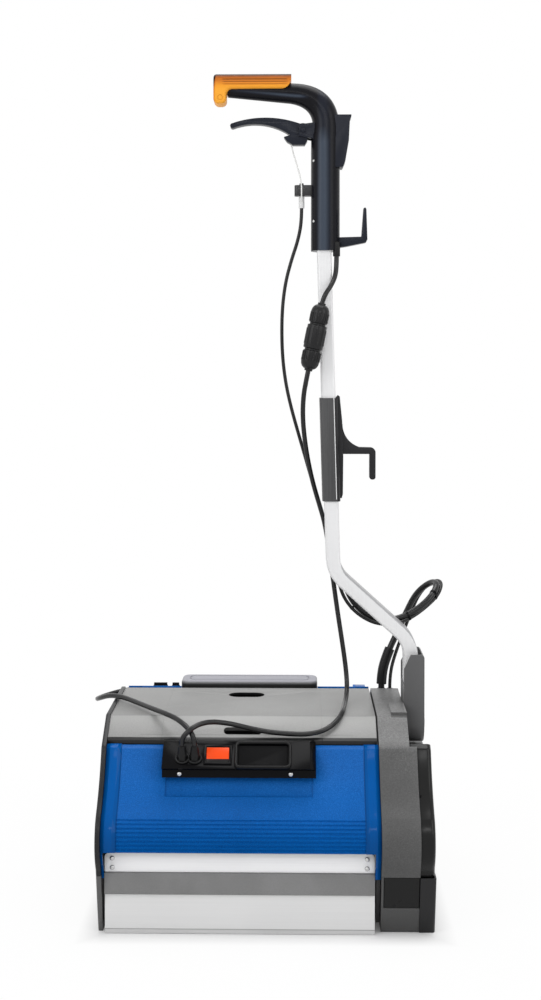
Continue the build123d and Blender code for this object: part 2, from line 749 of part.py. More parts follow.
def rocker_bezel():
    x0, x1 = rocker_x - rocker_half, rocker_x + rocker_half
    v1 = rocker_length / 2 + rocker_wall
    outer = on_face(x0 + fit, x1 - fit, -v1 + fit, v1 - fit, -rocker_depth - rocker_wall, 0)
    outer += on_face(x0 - 1.5, x1 + 1.5, -v1 - 1.5, v1 + 1.5, 0, 1.5)
    outer -= on_face(x0 + rocker_wall, x1 - rocker_wall, -rocker_length / 2, rocker_length / 2, -rocker_depth, 3)
    return outer - face_rod(x0 + 0.7, x1 - 0.7, 0, rocker_axle_d, rocker_pin + running)


def rocker_switch():
    half = rocker_half - rocker_wall - clear
    end = rocker_length / 2
    side = polygon((-end, 0.2), (0, 3.2), (end, 5.2), (end, -2), (2, -7), (-2, -7), (-end, -2))
    side &= Pos(0, rocker_axle_d) * Circle(end - clear)
    rocker = extrude(box_side.offset(rocker_x - half) * side, amount=2 * half)
    return rocker + face_rod(rocker_x - rocker_half + 1, rocker_x + rocker_half - 1, 0, rocker_axle_d, rocker_pin)


def socket_lid():
    """Flap with a barrel along its top edge and a stub pin at each end of the barrel."""
    door = on_face(lid_x0 + clear, lid_x1 - clear, lid_v0, hinge_v, -lid_thick_d, 0)
    pull = (lid_x0 + lid_x1) / 2
    door += on_face(pull - 11, pull + 11, lid_v0, lid_v0 + 5, -0.5, 1.6)
    door += face_rod(lid_x0 + clear, lid_x1 - clear, hinge_v, hinge_d, hinge_radius)
    return door + face_rod(lid_x0 - hinge_reach + clear, lid_x1 + hinge_reach - clear, hinge_v, hinge_d, hinge_pin)


# Handle
def tube_solid(grow=0.0, wall=None):
    path = FilletPolyline(tube_top, tube_knee, tube_heel, tube_foot, radius=[knee_radius, heel_radius])
    path = Plane.XZ * path
    width, depth = tube_x + 2 * grow, tube_y + 2 * grow
    corner = tube_corner + grow
    if wall:
        width, depth, corner = tube_x - 2 * wall, tube_y - 2 * wall, tube_corner - wall
    start = Plane(origin=path @ 0, x_dir=(0, 1, 0), z_dir=path % 0)
    return sweep(start * RectangleRounded(depth, width, corner), path=path)


def tube_axis_x(z):
    share = (tube_top[1] - z) / (tube_top[1] - tube_knee[1])
    return tube_top[0] + (tube_knee[0] - tube_top[0]) * share


grommet_x, grommet_z = 108.0, 434.0
grommet_radius = 7.0
grommet_stand = 4.5


def handle_tube():
    tube = tube_solid() - tube_solid(wall=tube_wall)
    return tube - rod_y(0, tube_y, grommet_x, grommet_z, grommet_radius - 2)


def handle_glands():
    """Grommet where the motor lead leaves the back of the tube, and the power cord's gland on the column."""
    back = tube_y / 2
    grommet = rod_y(back - tube_wall, back + 1, grommet_x, grommet_z, grommet_radius - 2 - fit)
    grommet += rod_y(back, back + grommet_stand, grommet_x, grommet_z, grommet_radius)
    gland = rod_z(gland_exit[2], column_bottom + 12, gland_exit[0], gland_exit[1], power_radius + 1.6)
    gland -= rod_z(column_bottom, bend_z, column_x, 0, column_radius + fit)
    return Compound(children=grommet.solids() + gland.solids())


pin_head = 2.0


def pivot_bracket():
    bracket = block(bracket_x0, bracket_x1, -bracket_half, bracket_half, pivot_z, bracket_top)
    bracket += rod_x(bracket_x0, bracket_x1, 0, pivot_z, bracket_half)
    bracket -= across_y(polygon((bracket_x0 - 1, bracket_top - 22), (bracket_x0 - 1, bracket_top + 1),
                                (bracket_x0 + 10, bracket_top + 1)), -100, 100)
    corner = bracket.edges().filter_by(Axis.Y).filter_by(lambda e: e.center().X > bracket_x1 - 0.1)
    bracket = fillet(corner.sort_by(Axis.Z)[-1], 5)
    wall = 3.0
    bracket -= block(bracket_x0 - 1, bracket_x1 - wall, -bracket_half + wall, bracket_half - wall,
                     bracket_top - 42, bracket_top + 1)
    bracket -= tube_solid(fit)
    return bracket - rod_x(bracket_x0 - 1, bracket_x1 + 1, 0, pivot_z, pivot_radius + fit)


def pivot_pin():
    pin = rod_x(x_bracket_wall - 17, bracket_x1, 0, pivot_z, pivot_radius)
    return pin + rod_x(bracket_x1, bracket_x1 + pin_head, 0, pivot_z, pivot_radius + 5)


neck_x, neck_z, neck_radius = 31.0, grip_top - 26.0, 14.2
tail_x, tail_z, tail_radius = -57.0, grip_top - 21.0, 10.3
bend_z = grip_top - 87.0


def column_solid():
    """Round column that bends over into the grip."""
    column = rod_z(column_bottom, bend_z, column_x, 0, column_radius)
    foot = Plane(origin=(column_x, 0, bend_z), x_dir=(0, 1, 0), z_dir=(0, 0, 1))
    bend = Plane(origin=(column_x - 10.5, 0, bend_z + 46), x_dir=(0, 1, 0), z_dir=(-1, 0, 1))
    neck = Plane(origin=(neck_x, 0, neck_z), x_dir=(0, 1, 0), z_dir=(-1, 0, 0))
    tail = Plane(origin=(tail_x, 0, tail_z), x_dir=(0, 1, 0), z_dir=(-1, 0, 0))
    elbow = loft([foot * Circle(column_radius), bend * Circle(18.0), neck * Circle(neck_radius)])
    grip = loft([neck * Circle(neck_radius), tail * Circle(tail_radius)])
    return column + elbow + grip


def handle_column():
    return column_solid() - tube_solid(fit)


grip_x0, grip_x1 = -77.0, 32.0
grip_half = 17.0
grip_nose_z = grip_top - 42.0
nose_width = 18.0
nose_round = 7.0
palm_round = 9.0


def grip_cap():
    """Cover over the top of the grip, with a rounded nose that closes its end."""
    side = polygon((grip_x0, grip_nose_z), (grip_x0 + nose_width, grip_nose_z), (grip_x0 + nose_width, grip_z),
                   (grip_x1 - 5, grip_z), (grip_x1, grip_z + 8), (grip_x1, grip_top), (grip_x0, grip_top))
    lobe = side.vertices().filter_by(lambda v: v.Y < grip_nose_z + 1)
    side = fillet(lobe, nose_round)
    palm = side.vertices().filter_by(lambda v: abs(v.X - grip_x0 - nose_width) < 0.1 and abs(v.Y - grip_z) < 0.1)
    side = fillet(palm, palm_round)
    cap_solid = across_y(side, -grip_half, grip_half)
    top = cap_solid.edges().filter_by(Axis.X).filter_by(lambda e: e.center().Z > grip_top - 1)
    cap_solid = fillet(top, 11)
    end = cap_solid.faces().sort_by(Axis.X)[0].edges()
    cap_solid = fillet(end, 4)
    core = loft([Plane(origin=(x, 0, z), x_dir=(0, 1, 0), z_dir=(-1, 0, 0)) * Circle(r + fit)
                 for x, z, r in ((neck_x, neck_z, neck_radius), (tail_x, tail_z, tail_radius))])
    return cap_solid - core - rod_x(neck_x - fit, neck_x + 5, 0, neck_z, neck_radius + 1)


switch_x1 = 116.0
switch_z0, switch_z1 = grip_top - 131.0, grip_top - 58.0


def switch_box():
    side = polygon((column_x, switch_z0), (switch_x1 - 12, switch_z0), (switch_x1 - 8.5, switch_z0 + 8),
                   (switch_x1 - 3.5, switch_z0 + 37), (switch_x1 - 2, switch_z1 - 6), (switch_x1, switch_z1 - 2.5),
                   (switch_x1, switch_z1), (column_x, switch_z1))
    solid = across_y(side, -15, 15)
    column = rod_z(column_bottom, bend_z, column_x, 0, column_radius + fit)
    return solid - column - grown_elbow()


def grown_elbow():
    foot = Plane(origin=(column_x, 0, bend_z - 1), x_dir=(0, 1, 0), z_dir=(0, 0, 1))
    bend = Plane(origin=(column_x - 10.5, 0, bend_z + 46), x_dir=(0, 1, 0), z_dir=(-1, 0, 1))
    neck = Plane(origin=(neck_x, 0, neck_z), x_dir=(0, 1, 0), z_dir=(-1, 0, 0))
    return loft([foot * Circle(column_radius + 0.3), bend * Circle(18.3), neck * Circle(neck_radius + 0.3)])


hook_half = 7.0


def upper_cord_hook():
    x0 = column_x + 14
    tip = column_x + 59
    low = column_bottom + 4
    side = polygon((x0, low), (column_x + 30, low + 2.5), (tip - 2, low + 8), (tip, low + 12),
                   (tip - 1.5, low + 55), (tip - 3, low + 57), (tip - 5.5, low + 56), (tip - 8.5, low + 16),
                   (x0, low + 15))
    return across_y(side, -hook_half, hook_half) - rod_z(column_bottom, bend_z, column_x, 0, column_radius + fit)


sleeve_z0, sleeve_z1 = 550.0, 695.0
sleeve_wall = 2.6


def hook_sleeve():
    """Clamp sleeve round the tube with the downward cord hook moulded on."""
    x0 = tube_axis_x(sleeve_z1) + tube_x / 2
    low = sleeve_z0
    base = polygon((x0, low + 4), (x0 + 9, low + 4), (x0 + 10.5, low + 10), (x0 + 11, low + 62),
                   (x0 + 9.5, low + 112), (x0 + 6, sleeve_z1 + 2), (x0 + 3.5, sleeve_z1 + 4), (x0, sleeve_z1))
    bar = 8.5
    reach = x0 + 56.5
    arm = make_face(Curve() + [
        Line((x0 + 4, low + 66), (reach - bar, low + 66)), Line((reach - bar, low + 66), (reach - bar, low + 30)),
        Line((reach - bar, low + 30), (reach, low + 30)), Line((reach, low + 30), (reach, low + 75)),
        Line((reach, low + 75), (x0 + 34, low + 75.5)),
        ThreePointArc((x0 + 34, low + 75.5), (x0 + 19, low + 85), (x0 + 10, low + 108)),
        Line((x0 + 10, low + 108), (x0 + 4, low + 66))])
    tips = arm.vertices().filter_by(lambda v: v.Y < low + 31)
    arm = fillet(tips, 3.6)
    bend = arm.vertices().filter_by(lambda v: v.X > reach - 0.1 and v.Y > low + 74)
    arm = fillet(bend, 7.0)
    hook = across_y(base, -hook_half - 2, hook_half + 2) + across_y(arm, -hook_half, hook_half)
    sleeve = tube_solid(sleeve_wall) & block(-600, 600, -600, 600, sleeve_z0, sleeve_z1)
    return sleeve + hook - tube_solid(fit)


# Trigger lever and its cable
lever_bore = 3.0
lever_boss = 10.4
cheek = 3.0


def lever_outline():
    """Slender curved finger lever that ends in a claw for the cable, drawn from its pin."""
    def at(dx, dz):
        return (lever_x + dx, lever_z + dz)

    return make_face(Curve() + [
        ThreePointArc(at(-99.5, 10.6), at(-56, 18.2), at(-3.5, 9.5)),
        Line(at(-3.5, 9.5), at(6, 4)), Line(at(6, 4), at(6, -14)), Line(at(6, -14), at(2.5, -19.8)),
        Line(at(2.5, -19.8), at(-14, -19.8)), Line(at(-14, -19.8), at(-22.5, -15)),
        Line(at(-22.5, -15), at(-27, -8.8)), Line(at(-27, -8.8), at(-18, -6)),
        ThreePointArc(at(-18, -6), at(-52.5, 8.2), at(-97.5, 4.3)),
        ThreePointArc(at(-97.5, 4.3), at(-102.3, 7.6), at(-99.5, 10.6))])


def trigger_lever():
    lever = across_y(lever_outline(), -lever_half, lever_half)
    lever += rod_y(-lever_half, lever_half, lever_x, lever_z, lever_boss)
    return lever - rod_y(-30, 30, lever_x, lever_z, lever_bore + running)


def lever_bracket():
    """Two cheeks on the column and the pin that carries the lever."""
    side = polygon((lever_x - 6, lever_z - 8), (lever_x + 24, lever_z - 14), (lever_x + 24, lever_z + 12),
                   (lever_x - 6, lever_z + 8))
    cheeks = []
    for sign in (-1, 1):
        inner, outer = lever_half + clear, lever_half + clear + cheek
        y0, y1 = (inner, outer) if sign > 0 else (-outer, -inner)
        plate = across_y(side, y0, y1) - rod_y(-40, 40, lever_x, lever_z, lever_bore + fit)
        plate -= rod_z(column_bottom, bend_z, column_x, 0, column_radius + fit)
        plate -= grown_elbow()
        cheeks += [plate.solids().sort_by(Axis.X)[0]]
    reach = lever_half + clear + cheek + 1.5
    return Compound(children=cheeks + rod_y(-reach, reach, lever_x, lever_z, lever_bore).solids())


stop_z0, stop_z1 = grip_top - 170.0, grip_top - 155.0
cable_x = 46.5
ferrule_radius = 4.0


def cable_stop():
    side = polygon((cable_x - 10, stop_z0), (column_x, stop_z0), (column_x, stop_z1), (cable_x - 10, stop_z1))
    solid = across_y(side, -7, 7)
    solid = fillet(solid.edges().filter_by(Axis.Z).filter_by(lambda e: e.center().X < cable_x), 5)
    solid -= rod_z(column_bottom, bend_z, column_x, 0, column_radius + fit)
    return solid - rod_z(stop_z0 - 1, stop_z1 + 1, cable_x, 0, ferrule_radius - 1 + fit)


ferrule_bottom = grip_top - 187.0


def cable_anchor():
    """Stop arm on the column with the threaded ferrule of the cable in it."""
    ferrule = rod_z(ferrule_bottom, stop_z0, cable_x, 0, ferrule_radius)
    ferrule += rod_z(stop_z0 - 0.5, stop_z1 + 3, cable_x, 0, ferrule_radius - 1)
    return Compound(children=cable_stop().solids() + ferrule.solids())


# Cords
def cord_path(points):
    """Straight runs joined by arcs as large as the runs allow."""
    corners = [Vector(*p) for p in points]
    runs = [b - a for a, b in zip(corners, corners[1:])]
    radii = []
    for before, after in zip(runs, runs[1:]):
        turn = math.radians(before.get_angle(after))
        radii.append(0.45 * min(before.length, after.length) / math.tan(turn / 2))
    return FilletPolyline(*points, radius=radii)


def cord(points, radius):
    path = cord_path(points)
    return sweep(Plane(origin=path @ 0, z_dir=path % 0) * Circle(radius), path=path)


power_radius = 3.4
motor_lead_radius = 4.6
cable_radius = 2.5
gland_exit = (95.5, -11.0, column_bottom - 8)
connector_top = (74.9, -31.0, column_bottom - 74.5)
connector_low = (55.6, -31.0, column_bottom - 168.5)
connector_radius = 13.6


def past_connector(share):
    """A point on the connector's own axis: 0 at its top, 1 at its bottom."""
    return tuple(top + share * (low - top) for top, low in zip(connector_top, connector_low))


split_z = 488.0


def hung(top, x, y, share):
    """Point of a hanging cord: share 0 where it crosses to the body side, 1 at its upper end."""
    return (x, y, split_z + share * (top - split_z))


def outward(share):
    """Place along X from the tube's grommet (0) to the heel of the tube (1)."""
    return grommet_x + share * (tube_heel[0] - grommet_x)


def leftward(share):
    """Place along X from the second gland of the control box (0) to the left end (1)."""
    return gland_xs[1] + share * (x_left - gland_xs[1])


power_upper_points = [gland_exit, (95.5, -11, gland_exit[2] - 15.5), (88.5, -23, gland_exit[2] - 38.5),
                      past_connector(-0.135), connector_top]
power_middle_points = [connector_low, past_connector(1.155)] + [
    hung(connector_low[2], x, y, share) for x, y, share in (
        (49, -26.5, 0.857), (48, -16, 0.743), (50.5, -4, 0.62), (55.5, 8, 0.486), (63, 16.5, 0.347),
        (72.5, 20.8, 0.216), (80.5, 21, 0.106), (84.5, 20.5, 0))]
control_points = [(84.5, 20.5, split_z), (88.5, 20, 462), (91.5, 19.4, 438), (95, 17.5, 412), (99, 15.5, 384),
                  (103.5, 14, 355), (107.5, 13, 328), (110.5, 10.5, 304), (111.5, 4, 285), (110, -9, 275),
                  (107.5, -28, 270.5), (105, -52, 269.4), (102.5, -77, 269.4), (95.5, -96, 262.3),
                  (79, -111.5, 252.5), (55, -118, 248.3), (28, -117, 248.8), (1, -116.5, 251), (-24, -118, 256.5),
                  (-49, -125, 264.5),
                  (-72, -137, 270), (-87, -148.5, 270), (-98.5, -157.5, 265.5), (-106, -160.5, 258.5),
                  gland_tip(gland_xs[0], 9), gland_tip(gland_xs[0])]
motor_lead_points = [(grommet_x, tube_y / 2 + grommet_stand, grommet_z), (108, 33, 434), (109.5, 43, 427.5),
                     (113, 47, 416)] + [
    (outward(share), y, z) for share, y, z in (
        (0.119, 46, 403), (0.238, 42, 389.5), (0.422, 38, 378), (0.681, 35.5, 373), (0.962, 36, 379.5),
        (1.222, 40, 394), (1.416, 49, 411), (1.492, 68, 424), (1.384, 88, 421), (1.178, 98, 403),
        (1.027, 99, 375), (0.876, 97, 344), (0.719, 94, 314))] + [
    (cord_ports[0][0], cord_ports[0][1], cord_port_z + 22), (cord_ports[0][0], cord_ports[0][1], cord_port_z)]
cable_upper_points = [(cable_x, 0, ferrule_bottom)] + [
    hung(ferrule_bottom, x, y, share) for x, y, share in (
        (cable_x, 0, 0.96), (41.5, 2, 0.905), (32, 4, 0.846), (24, 6, 0.783), (19.6, 8, 0.713), (18.4, 10, 0.637),
        (19.6, 12, 0.557), (24, 14, 0.481), (31.5, 16, 0.409), (41, 18.5, 0.338), (51.5, 21.5, 0.262),
        (62.5, 25.5, 0.179), (73, 28.8, 0.11), (82, 30, 0.053), (89, 30, 0))]
cable_lower_points = [(89, 30, split_z), (96.7, 30, 460.37), (99.3, 31, 434), (106.5, 33, 409)] + [
    (outward(share), y, z) for share, y, z in (
        (0.13, 35, 389), (0.303, 36.2, 374), (0.519, 37, 364.5), (0.778, 37.7, 364), (1.038, 40, 373),
        (1.286, 47, 389), (1.503, 57, 408), (1.578, 77, 424), (1.459, 97, 423), (1.254, 106, 404),
        (1.114, 106.5, 375), (0.984, 104, 344), (0.854, 99.5, 314))] + [
    (cord_ports[1][0], cord_ports[1][1], cord_port_z + 22), (cord_ports[1][0], cord_ports[1][1], cord_port_z)]
loop_points = [gland_tip(gland_xs[1]), gland_tip(gland_xs[1], 6), (-96.8, -154.6, 257.5), (-103, -148.5, 264)] + [
    (leftward(share), y, z) for share, y, z in (
        (0.143, -138, 269), (0.222, -124, 271.5), (0.325, -105, 273), (0.46, -75, 272.5), (0.603, -45, 271.5),
        (0.746, -17, 271), (0.897, 6, 271), (1.063, 24, 270.3), (1.183, 43, 264.5), (1.222, 66, 259.5),
        (1.19, 89, 257), (1.087, 109, 256), (0.952, 121, 256.5))] + [
    (rear_gland[0] - 15, rear_gland[1], rear_gland[2] + 15),
    (rear_gland[0] - 5, rear_gland[1] + 0.4, rear_gland[2] + 13.5),
    (rear_gland[0], rear_gland[1], rear_gland[2] + 7.5), rear_gland]


def inline_connector():
    """Waterproof coupling: a body between two nuts, each with a tapered cord seal."""
    start, end = Vector(*connector_top), Vector(*connector_low)
    length = (end - start).length
    r = connector_radius
    seal = power_radius + 2
    half = [(0, seal), (9, seal + 1.5), (9, r - 3), (13, r - 1), (28, r - 1), (29, r - 2.5), (31, r - 2.5),
            (32, r)]
    mirrored = [(length - at, radius) for at, radius in reversed(half)]
    profile = polygon((0, 0), *[(radius, at) for at, radius in half], *[(radius, at) for at, radius in mirrored],
                      (0, length))
    return Plane(origin=start, z_dir=end - start) * revolve(Plane.XZ * profile, Axis.Z)


nodes = {
    "left_end_plate": left_end_plate(),
    "left_lower_plate": left_lower_plate(),
    "left_bearing_plate": left_bearing_plate(),
    "right_bearing_plate": right_bearing_plate(),
    "roller_bearings": Compound(children=bearings(x_plate, x_left_inner).solids()
                                + bearings(x_right_inner, x_right_outer).solids()),
    "cross_bars": Compound(children=cross_bar(-1).solids() + cross_bar(1).solids()),
    "front_brush_spindle": brush_spindle(-brush_y, x_gear + gear_width) + front_brush_gear(),
    "front_brush_bristles": brush_bristles(-brush_y),
    "rear_brush_spindle": brush_spindle(brush_y, x_gear_rear + gear_width) + rear_brush_gear(),
    "rear_brush_bristles": brush_bristles(brush_y),
    "pickup_drum": pickup_drum(),
    "drum_gear": drum_gear(),
    "rear_idler_gear": rear_idler(),
    "front_idler_gear": front_idler(),
    "motor_pinion": motor_pinion(),
    "idler_studs": idler_studs(),
    "motor": motor(),
    "scraper": scraper(),
    "drive_housing": drive_housing(),
    "drive_housing_lower": drive_housing_lower(),
    "gear_covers": Compound(children=gear_cover(-1).solids() + gear_cover(1).solids()),
    "pivot_bush": pivot_bush(),
    "drive_outer_cover": outer_cover(),
    "drive_lower_cover": outer_cover_lower(),
    "front_shell": front_shell(),
    "rear_shell": rear_shell(),
    "carry_handle": carry_handle(),
    "filler_cap": cap(*filler),
    "vent_cap": cap(*vent),
    "recovery_tank": recovery_tank(),
    "tank_lid": tank_lid(),
    "guard_panels": Compound(children=guard_panel(-1).solids() + guard_panel(1).solids()),
    "bumper_strips": Compound(children=bumper_strip(-1).solids() + bumper_strip(1).solids()),
    "clamp_strips": Compound(children=clamp_strip(-1).solids() + clamp_strip(1).solids()),
    "cover_screws": cover_screws(),
    "control_box": control_box(),
    "lead_glands": lead_glands(),
    "rocker_bezel": rocker_bezel(),
    "rocker_switch": rocker_switch(),
    "socket_lid": socket_lid(),
    "handle_tube": handle_tube(),
    "handle_glands": handle_glands(),
    "pivot_bracket": pivot_bracket(),
    "pivot_pin": pivot_pin(),
    "handle_column": handle_column(),
    "grip_cap": grip_cap(),
    "switch_box": switch_box(),
    "upper_cord_hook": upper_cord_hook(),
    "hook_sleeve": hook_sleeve(),
    "trigger_lever": trigger_lever(),
    "lever_bracket": lever_bracket(),
    "cable_anchor": cable_anchor(),
    "power_cord_upper": cord(power_upper_points, power_radius),
    "inline_connector": inline_connector(),
    "power_cord_middle": cord(power_middle_points, power_radius),
    "motor_lead": cord(motor_lead_points, motor_lead_radius),
    "cable_upper": cord(cable_upper_points, cable_radius),
    "cable_lower": cord(cable_lower_points, cable_radius),
    "control_lead": cord(control_points, power_radius),
    "loop_lead": cord(loop_points, lead_radius),
}

for node_name, node_shape in nodes.items():
    save(node_name, node_shape)
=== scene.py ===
import json
import math

import bmesh
import bpy
from mathutils import Matrix, Vector


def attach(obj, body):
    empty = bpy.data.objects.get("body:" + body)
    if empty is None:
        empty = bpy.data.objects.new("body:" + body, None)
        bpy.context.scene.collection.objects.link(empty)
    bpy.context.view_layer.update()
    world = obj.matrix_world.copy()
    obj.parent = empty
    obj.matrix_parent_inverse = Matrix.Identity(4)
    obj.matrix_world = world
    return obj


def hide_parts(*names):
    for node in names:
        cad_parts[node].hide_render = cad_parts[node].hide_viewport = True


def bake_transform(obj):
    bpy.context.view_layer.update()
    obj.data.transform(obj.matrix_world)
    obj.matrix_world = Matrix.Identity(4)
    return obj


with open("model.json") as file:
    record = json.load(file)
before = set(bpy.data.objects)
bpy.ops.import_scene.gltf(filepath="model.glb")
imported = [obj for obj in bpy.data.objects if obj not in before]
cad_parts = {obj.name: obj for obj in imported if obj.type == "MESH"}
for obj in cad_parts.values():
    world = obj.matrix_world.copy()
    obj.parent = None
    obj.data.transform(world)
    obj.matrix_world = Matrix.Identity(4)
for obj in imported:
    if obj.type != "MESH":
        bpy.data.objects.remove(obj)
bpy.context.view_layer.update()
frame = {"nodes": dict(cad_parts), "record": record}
nodes = frame["nodes"]
body_of_node = {n: b for b, members in frame["record"]["behaviour"]["bodies"].items() for n in members}
slot_of_node = {s["node"]: s["material_slot"] for s in frame["record"]["subparts"]}
scene = bpy.context.scene
scene.view_settings.view_transform = "Standard"
MM = 0.001


# Materials
class Finish:
    """A procedural finish on Object coordinates, built node by node; places are in metres."""

    def __init__(self, name, roughness=0.5, metallic=0.0, specular=0.5):
        self.material = bpy.data.materials.new(name)
        self.material.use_nodes = True
        self.tree = self.material.node_tree
        self.shader = self.tree.nodes["Principled BSDF"]
        self.drive("Roughness", roughness)
        self.drive("Metallic", metallic)
        self.drive("Specular IOR Level", specular)
        places = self.node("ShaderNodeTexCoord")
        self.coords = places.outputs["Object"]
        self.normal = places.outputs["Normal"]
        self.x, self.y, self.z = self.node("ShaderNodeSeparateXYZ", {0: self.coords}).outputs

    def give(self, socket, value):
        """A socket takes a constant or another node's output."""
        if isinstance(value, bpy.types.NodeSocket):
            self.tree.links.new(value, socket)
        else:
            socket.default_value = value

    def drive(self, socket, value):
        self.give(self.shader.inputs[socket], value)

    def node(self, kind, inputs=None, **settings):
        made = self.tree.nodes.new(kind)
        for key, value in settings.items():
            setattr(made, key, value)
        for key, value in (inputs or {}).items():
            self.give(made.inputs[key], value)
        return made

    def noise(self, scale, detail=2.0, rough=0.5, stretch=None):
        at = self.coords
        if stretch:
            at = self.node("ShaderNodeMapping", {"Vector": at, "Scale": stretch}).outputs["Vector"]
        values = {"Vector": at, "Scale": scale, "Detail": detail, "Roughness": rough}
        return self.node("ShaderNodeTexNoise", values).outputs["Fac"]

    def cloud(self, scale):
        return self.noise(scale, 3.0)

    def drawn(self, stretch):
        """Fine grain drawn out along one axis."""
        return self.noise(1.0, 4.0, 0.6, stretch)

    def cells(self, scale):
        values = {"Vector": self.coords, "Scale": scale}
        return self.node("ShaderNodeTexVoronoi", values, feature="SMOOTH_F1").outputs["Distance"]

    def upward(self):
        """How far a face looks up, from -1 to 1."""
        return self.node("ShaderNodeSeparateXYZ", {0: self.normal}).outputs["Z"]

    def span(self, value, low, high, to_low=0.0, to_high=1.0):
        """The stretch from low to high laid onto another one, held at its ends."""
        values = {"Value": value, "From Min": low, "From Max": high, "To Min": to_low, "To Max": to_high}
        return self.node("ShaderNodeMapRange", values, clamp=True).outputs["Result"]

    def mottle(self, noise, low, high):
        """A noise, whose values lie about 0.3 to 0.7, laid onto a range."""
        return self.span(noise, 0.3, 0.7, low, high)

    def past(self, value, place, soft):
        """0 below a place and 1 above it, with a soft edge on both sides of the place."""
        return self.span(value, place - soft, place + soft)

    def before(self, value, place, soft):
        return self.span(value, place - soft, place + soft, 1.0, 0.0)

    def band(self, value, low, high, soft):
        return self.times(self.past(value, low, soft), self.before(value, high, soft))

    def reckon(self, operation, total, *values):
        for value in values:
            total = self.node("ShaderNodeMath", {0: total, 1: value}, operation=operation).outputs[0]
        return total

    def plus(self, *values):
        return self.reckon("ADD", *values)

    def minus(self, a, b):
        return self.reckon("SUBTRACT", a, b)

    def times(self, *values):
        return self.reckon("MULTIPLY", *values)

    def larger(self, *values):
        return self.reckon("MAXIMUM", *values)

    def size(self, value):
        return self.larger(value, self.times(value, -1.0))

    def tint(self, fac, *stops):
        """Base colour from a ramp of (position, colour) stops."""
        ramp = self.node("ShaderNodeValToRGB", {"Fac": fac})
        while len(ramp.color_ramp.elements) < len(stops):
            ramp.color_ramp.elements.new(0.5)
        for element, (at, colour) in zip(ramp.color_ramp.elements, stops):
            element.position = at
            element.color = (*colour, 1)
        self.drive("Base Color", ramp.outputs["Color"])

    def speckle(self, colour, dark, light, fine, cloud, cloudy, reach=1.0):
        """One colour between a darker and a lighter shade of it, by a fine and a cloudy noise."""
        tone = self.plus(self.mottle(fine, -0.5, 0.5), self.mottle(cloud, -cloudy, cloudy))
        stops = (0.0, shade(colour, dark)), (0.5, colour), (1.0, shade(colour, light))
        self.tint(self.span(tone, -reach, reach), *stops)

    def bump(self, height, distance, strength=1.0):
        made = self.node("ShaderNodeBump", {"Height": height, "Distance": distance, "Strength": strength})
        previous = self.shader.inputs["Normal"].links
        if previous:
            self.give(made.inputs["Normal"], previous[0].from_socket)
        self.drive("Normal", made.outputs["Normal"])

    def surface(self, relief, depth, gloss, low, high):
        """Fine relief from one noise and uneven roughness from another; ends the finish."""
        self.drive("Roughness", self.mottle(gloss, low, high))
        self.bump(relief, depth)
        return self.material


def shade(colour, factor):
    return tuple(min(1.0, c * factor) for c in colour)


def srgb(r, g, b):
    """A written colour (0 to 255) as scene-linear values."""
    return tuple(((c / 255 + 0.055) / 1.055) ** 2.4 if c > 10 else c / 255 / 12.92 for c in (r, g, b))


def grey(level):
    return srgb(level, level, level)


def moulded(name, colour, roughness, grain=900.0, depth=0.00006, speckle=0.06, specular=0.5):
    """Injection-moulded plastic: fine grain, a cloudy tone and slightly uneven gloss."""
    mat = Finish(name, roughness, specular=specular)
    fine = mat.noise(grain, rough=0.6)
    mat.speckle(colour, 1 - speckle, 1 + speckle, fine, mat.cloud(9.0), 0.5)
    return mat.surface(fine, depth, mat.cloud(45.0), roughness * 0.9, min(1.0, roughness * 1.12))


PANEL_LEFT, PANEL_RIGHT, PANEL_SOFT = -0.1931, 0.1287, 0.0003
STEP_OUT, STEP_HALF, STEP_SOFT = 0.00035, 0.0008, 0.00035


def blue_cover():
    """Blue cover: smooth crowned borders at both ends and a leather-grained panel between them, with painted
    shade towards the bottom and along the steps at the panel's edges.
    """
    colour = srgb(2, 89, 168)
    mat = Finish("blue_cover", 0.35, specular=0.14)
    panel = mat.band(mat.x, PANEL_LEFT, PANEL_RIGHT, PANEL_SOFT)
    grain = mat.cells(950.0)
    leather = mat.times(mat.span(grain, 0.1, 0.6, -0.24, 0.24), panel)
    border = mat.span(panel, 0, 1, -0.14, -0.04)
    # painted shade: the blue grows darker towards the bottom of the cover
    foot = mat.span(mat.z, 0.115, 0.19, -0.38, 0.0)
    # painted shade: darker lines along the steps at both edges of the panel
    edges = (PANEL_LEFT - STEP_OUT, PANEL_RIGHT + STEP_OUT)
    steps = mat.plus(*(mat.band(mat.x, at - STEP_HALF, at + STEP_HALF, STEP_SOFT) for at in edges))
    cloud = mat.mottle(mat.cloud(7.0), 0.42, 0.6)
    fac = mat.plus(cloud, leather, border, foot, mat.times(steps, -0.34))
    mat.tint(fac, (0.0, shade(colour, 0.6)), (0.5, colour), (1.0, srgb(34, 112, 192)))
    sheen = mat.times(mat.span(mat.z, 0.12, 0.2, 0.03, 0.16), panel)
    mat.drive("Specular IOR Level", mat.plus(sheen, mat.span(panel, 0, 1, 0.07, 0.0)))
    fine = mat.mottle(mat.noise(1900.0), -0.03, 0.03)
    mat.drive("Roughness", mat.plus(mat.span(panel, 0, 1, 0.1, 0.44), fine))
    mat.bump(mat.times(grain, panel), 0.00016, 0.8)
    crown = mat.times(mat.past(mat.x, -0.2109, 0.0024), mat.before(mat.x, -0.196, 0.0025))
    far_crown = mat.times(mat.past(mat.x, 0.131, 0.0025), mat.before(mat.x, 0.1461, 0.0024))
    mat.bump(mat.larger(crown, far_crown), 0.0022)
    return mat.material


HOOK_LEAN, HOOK_MIDDLE = 0.0283, 0.624
HOOK_EDGE, HOOK_SOFT = 0.0942, 0.0002


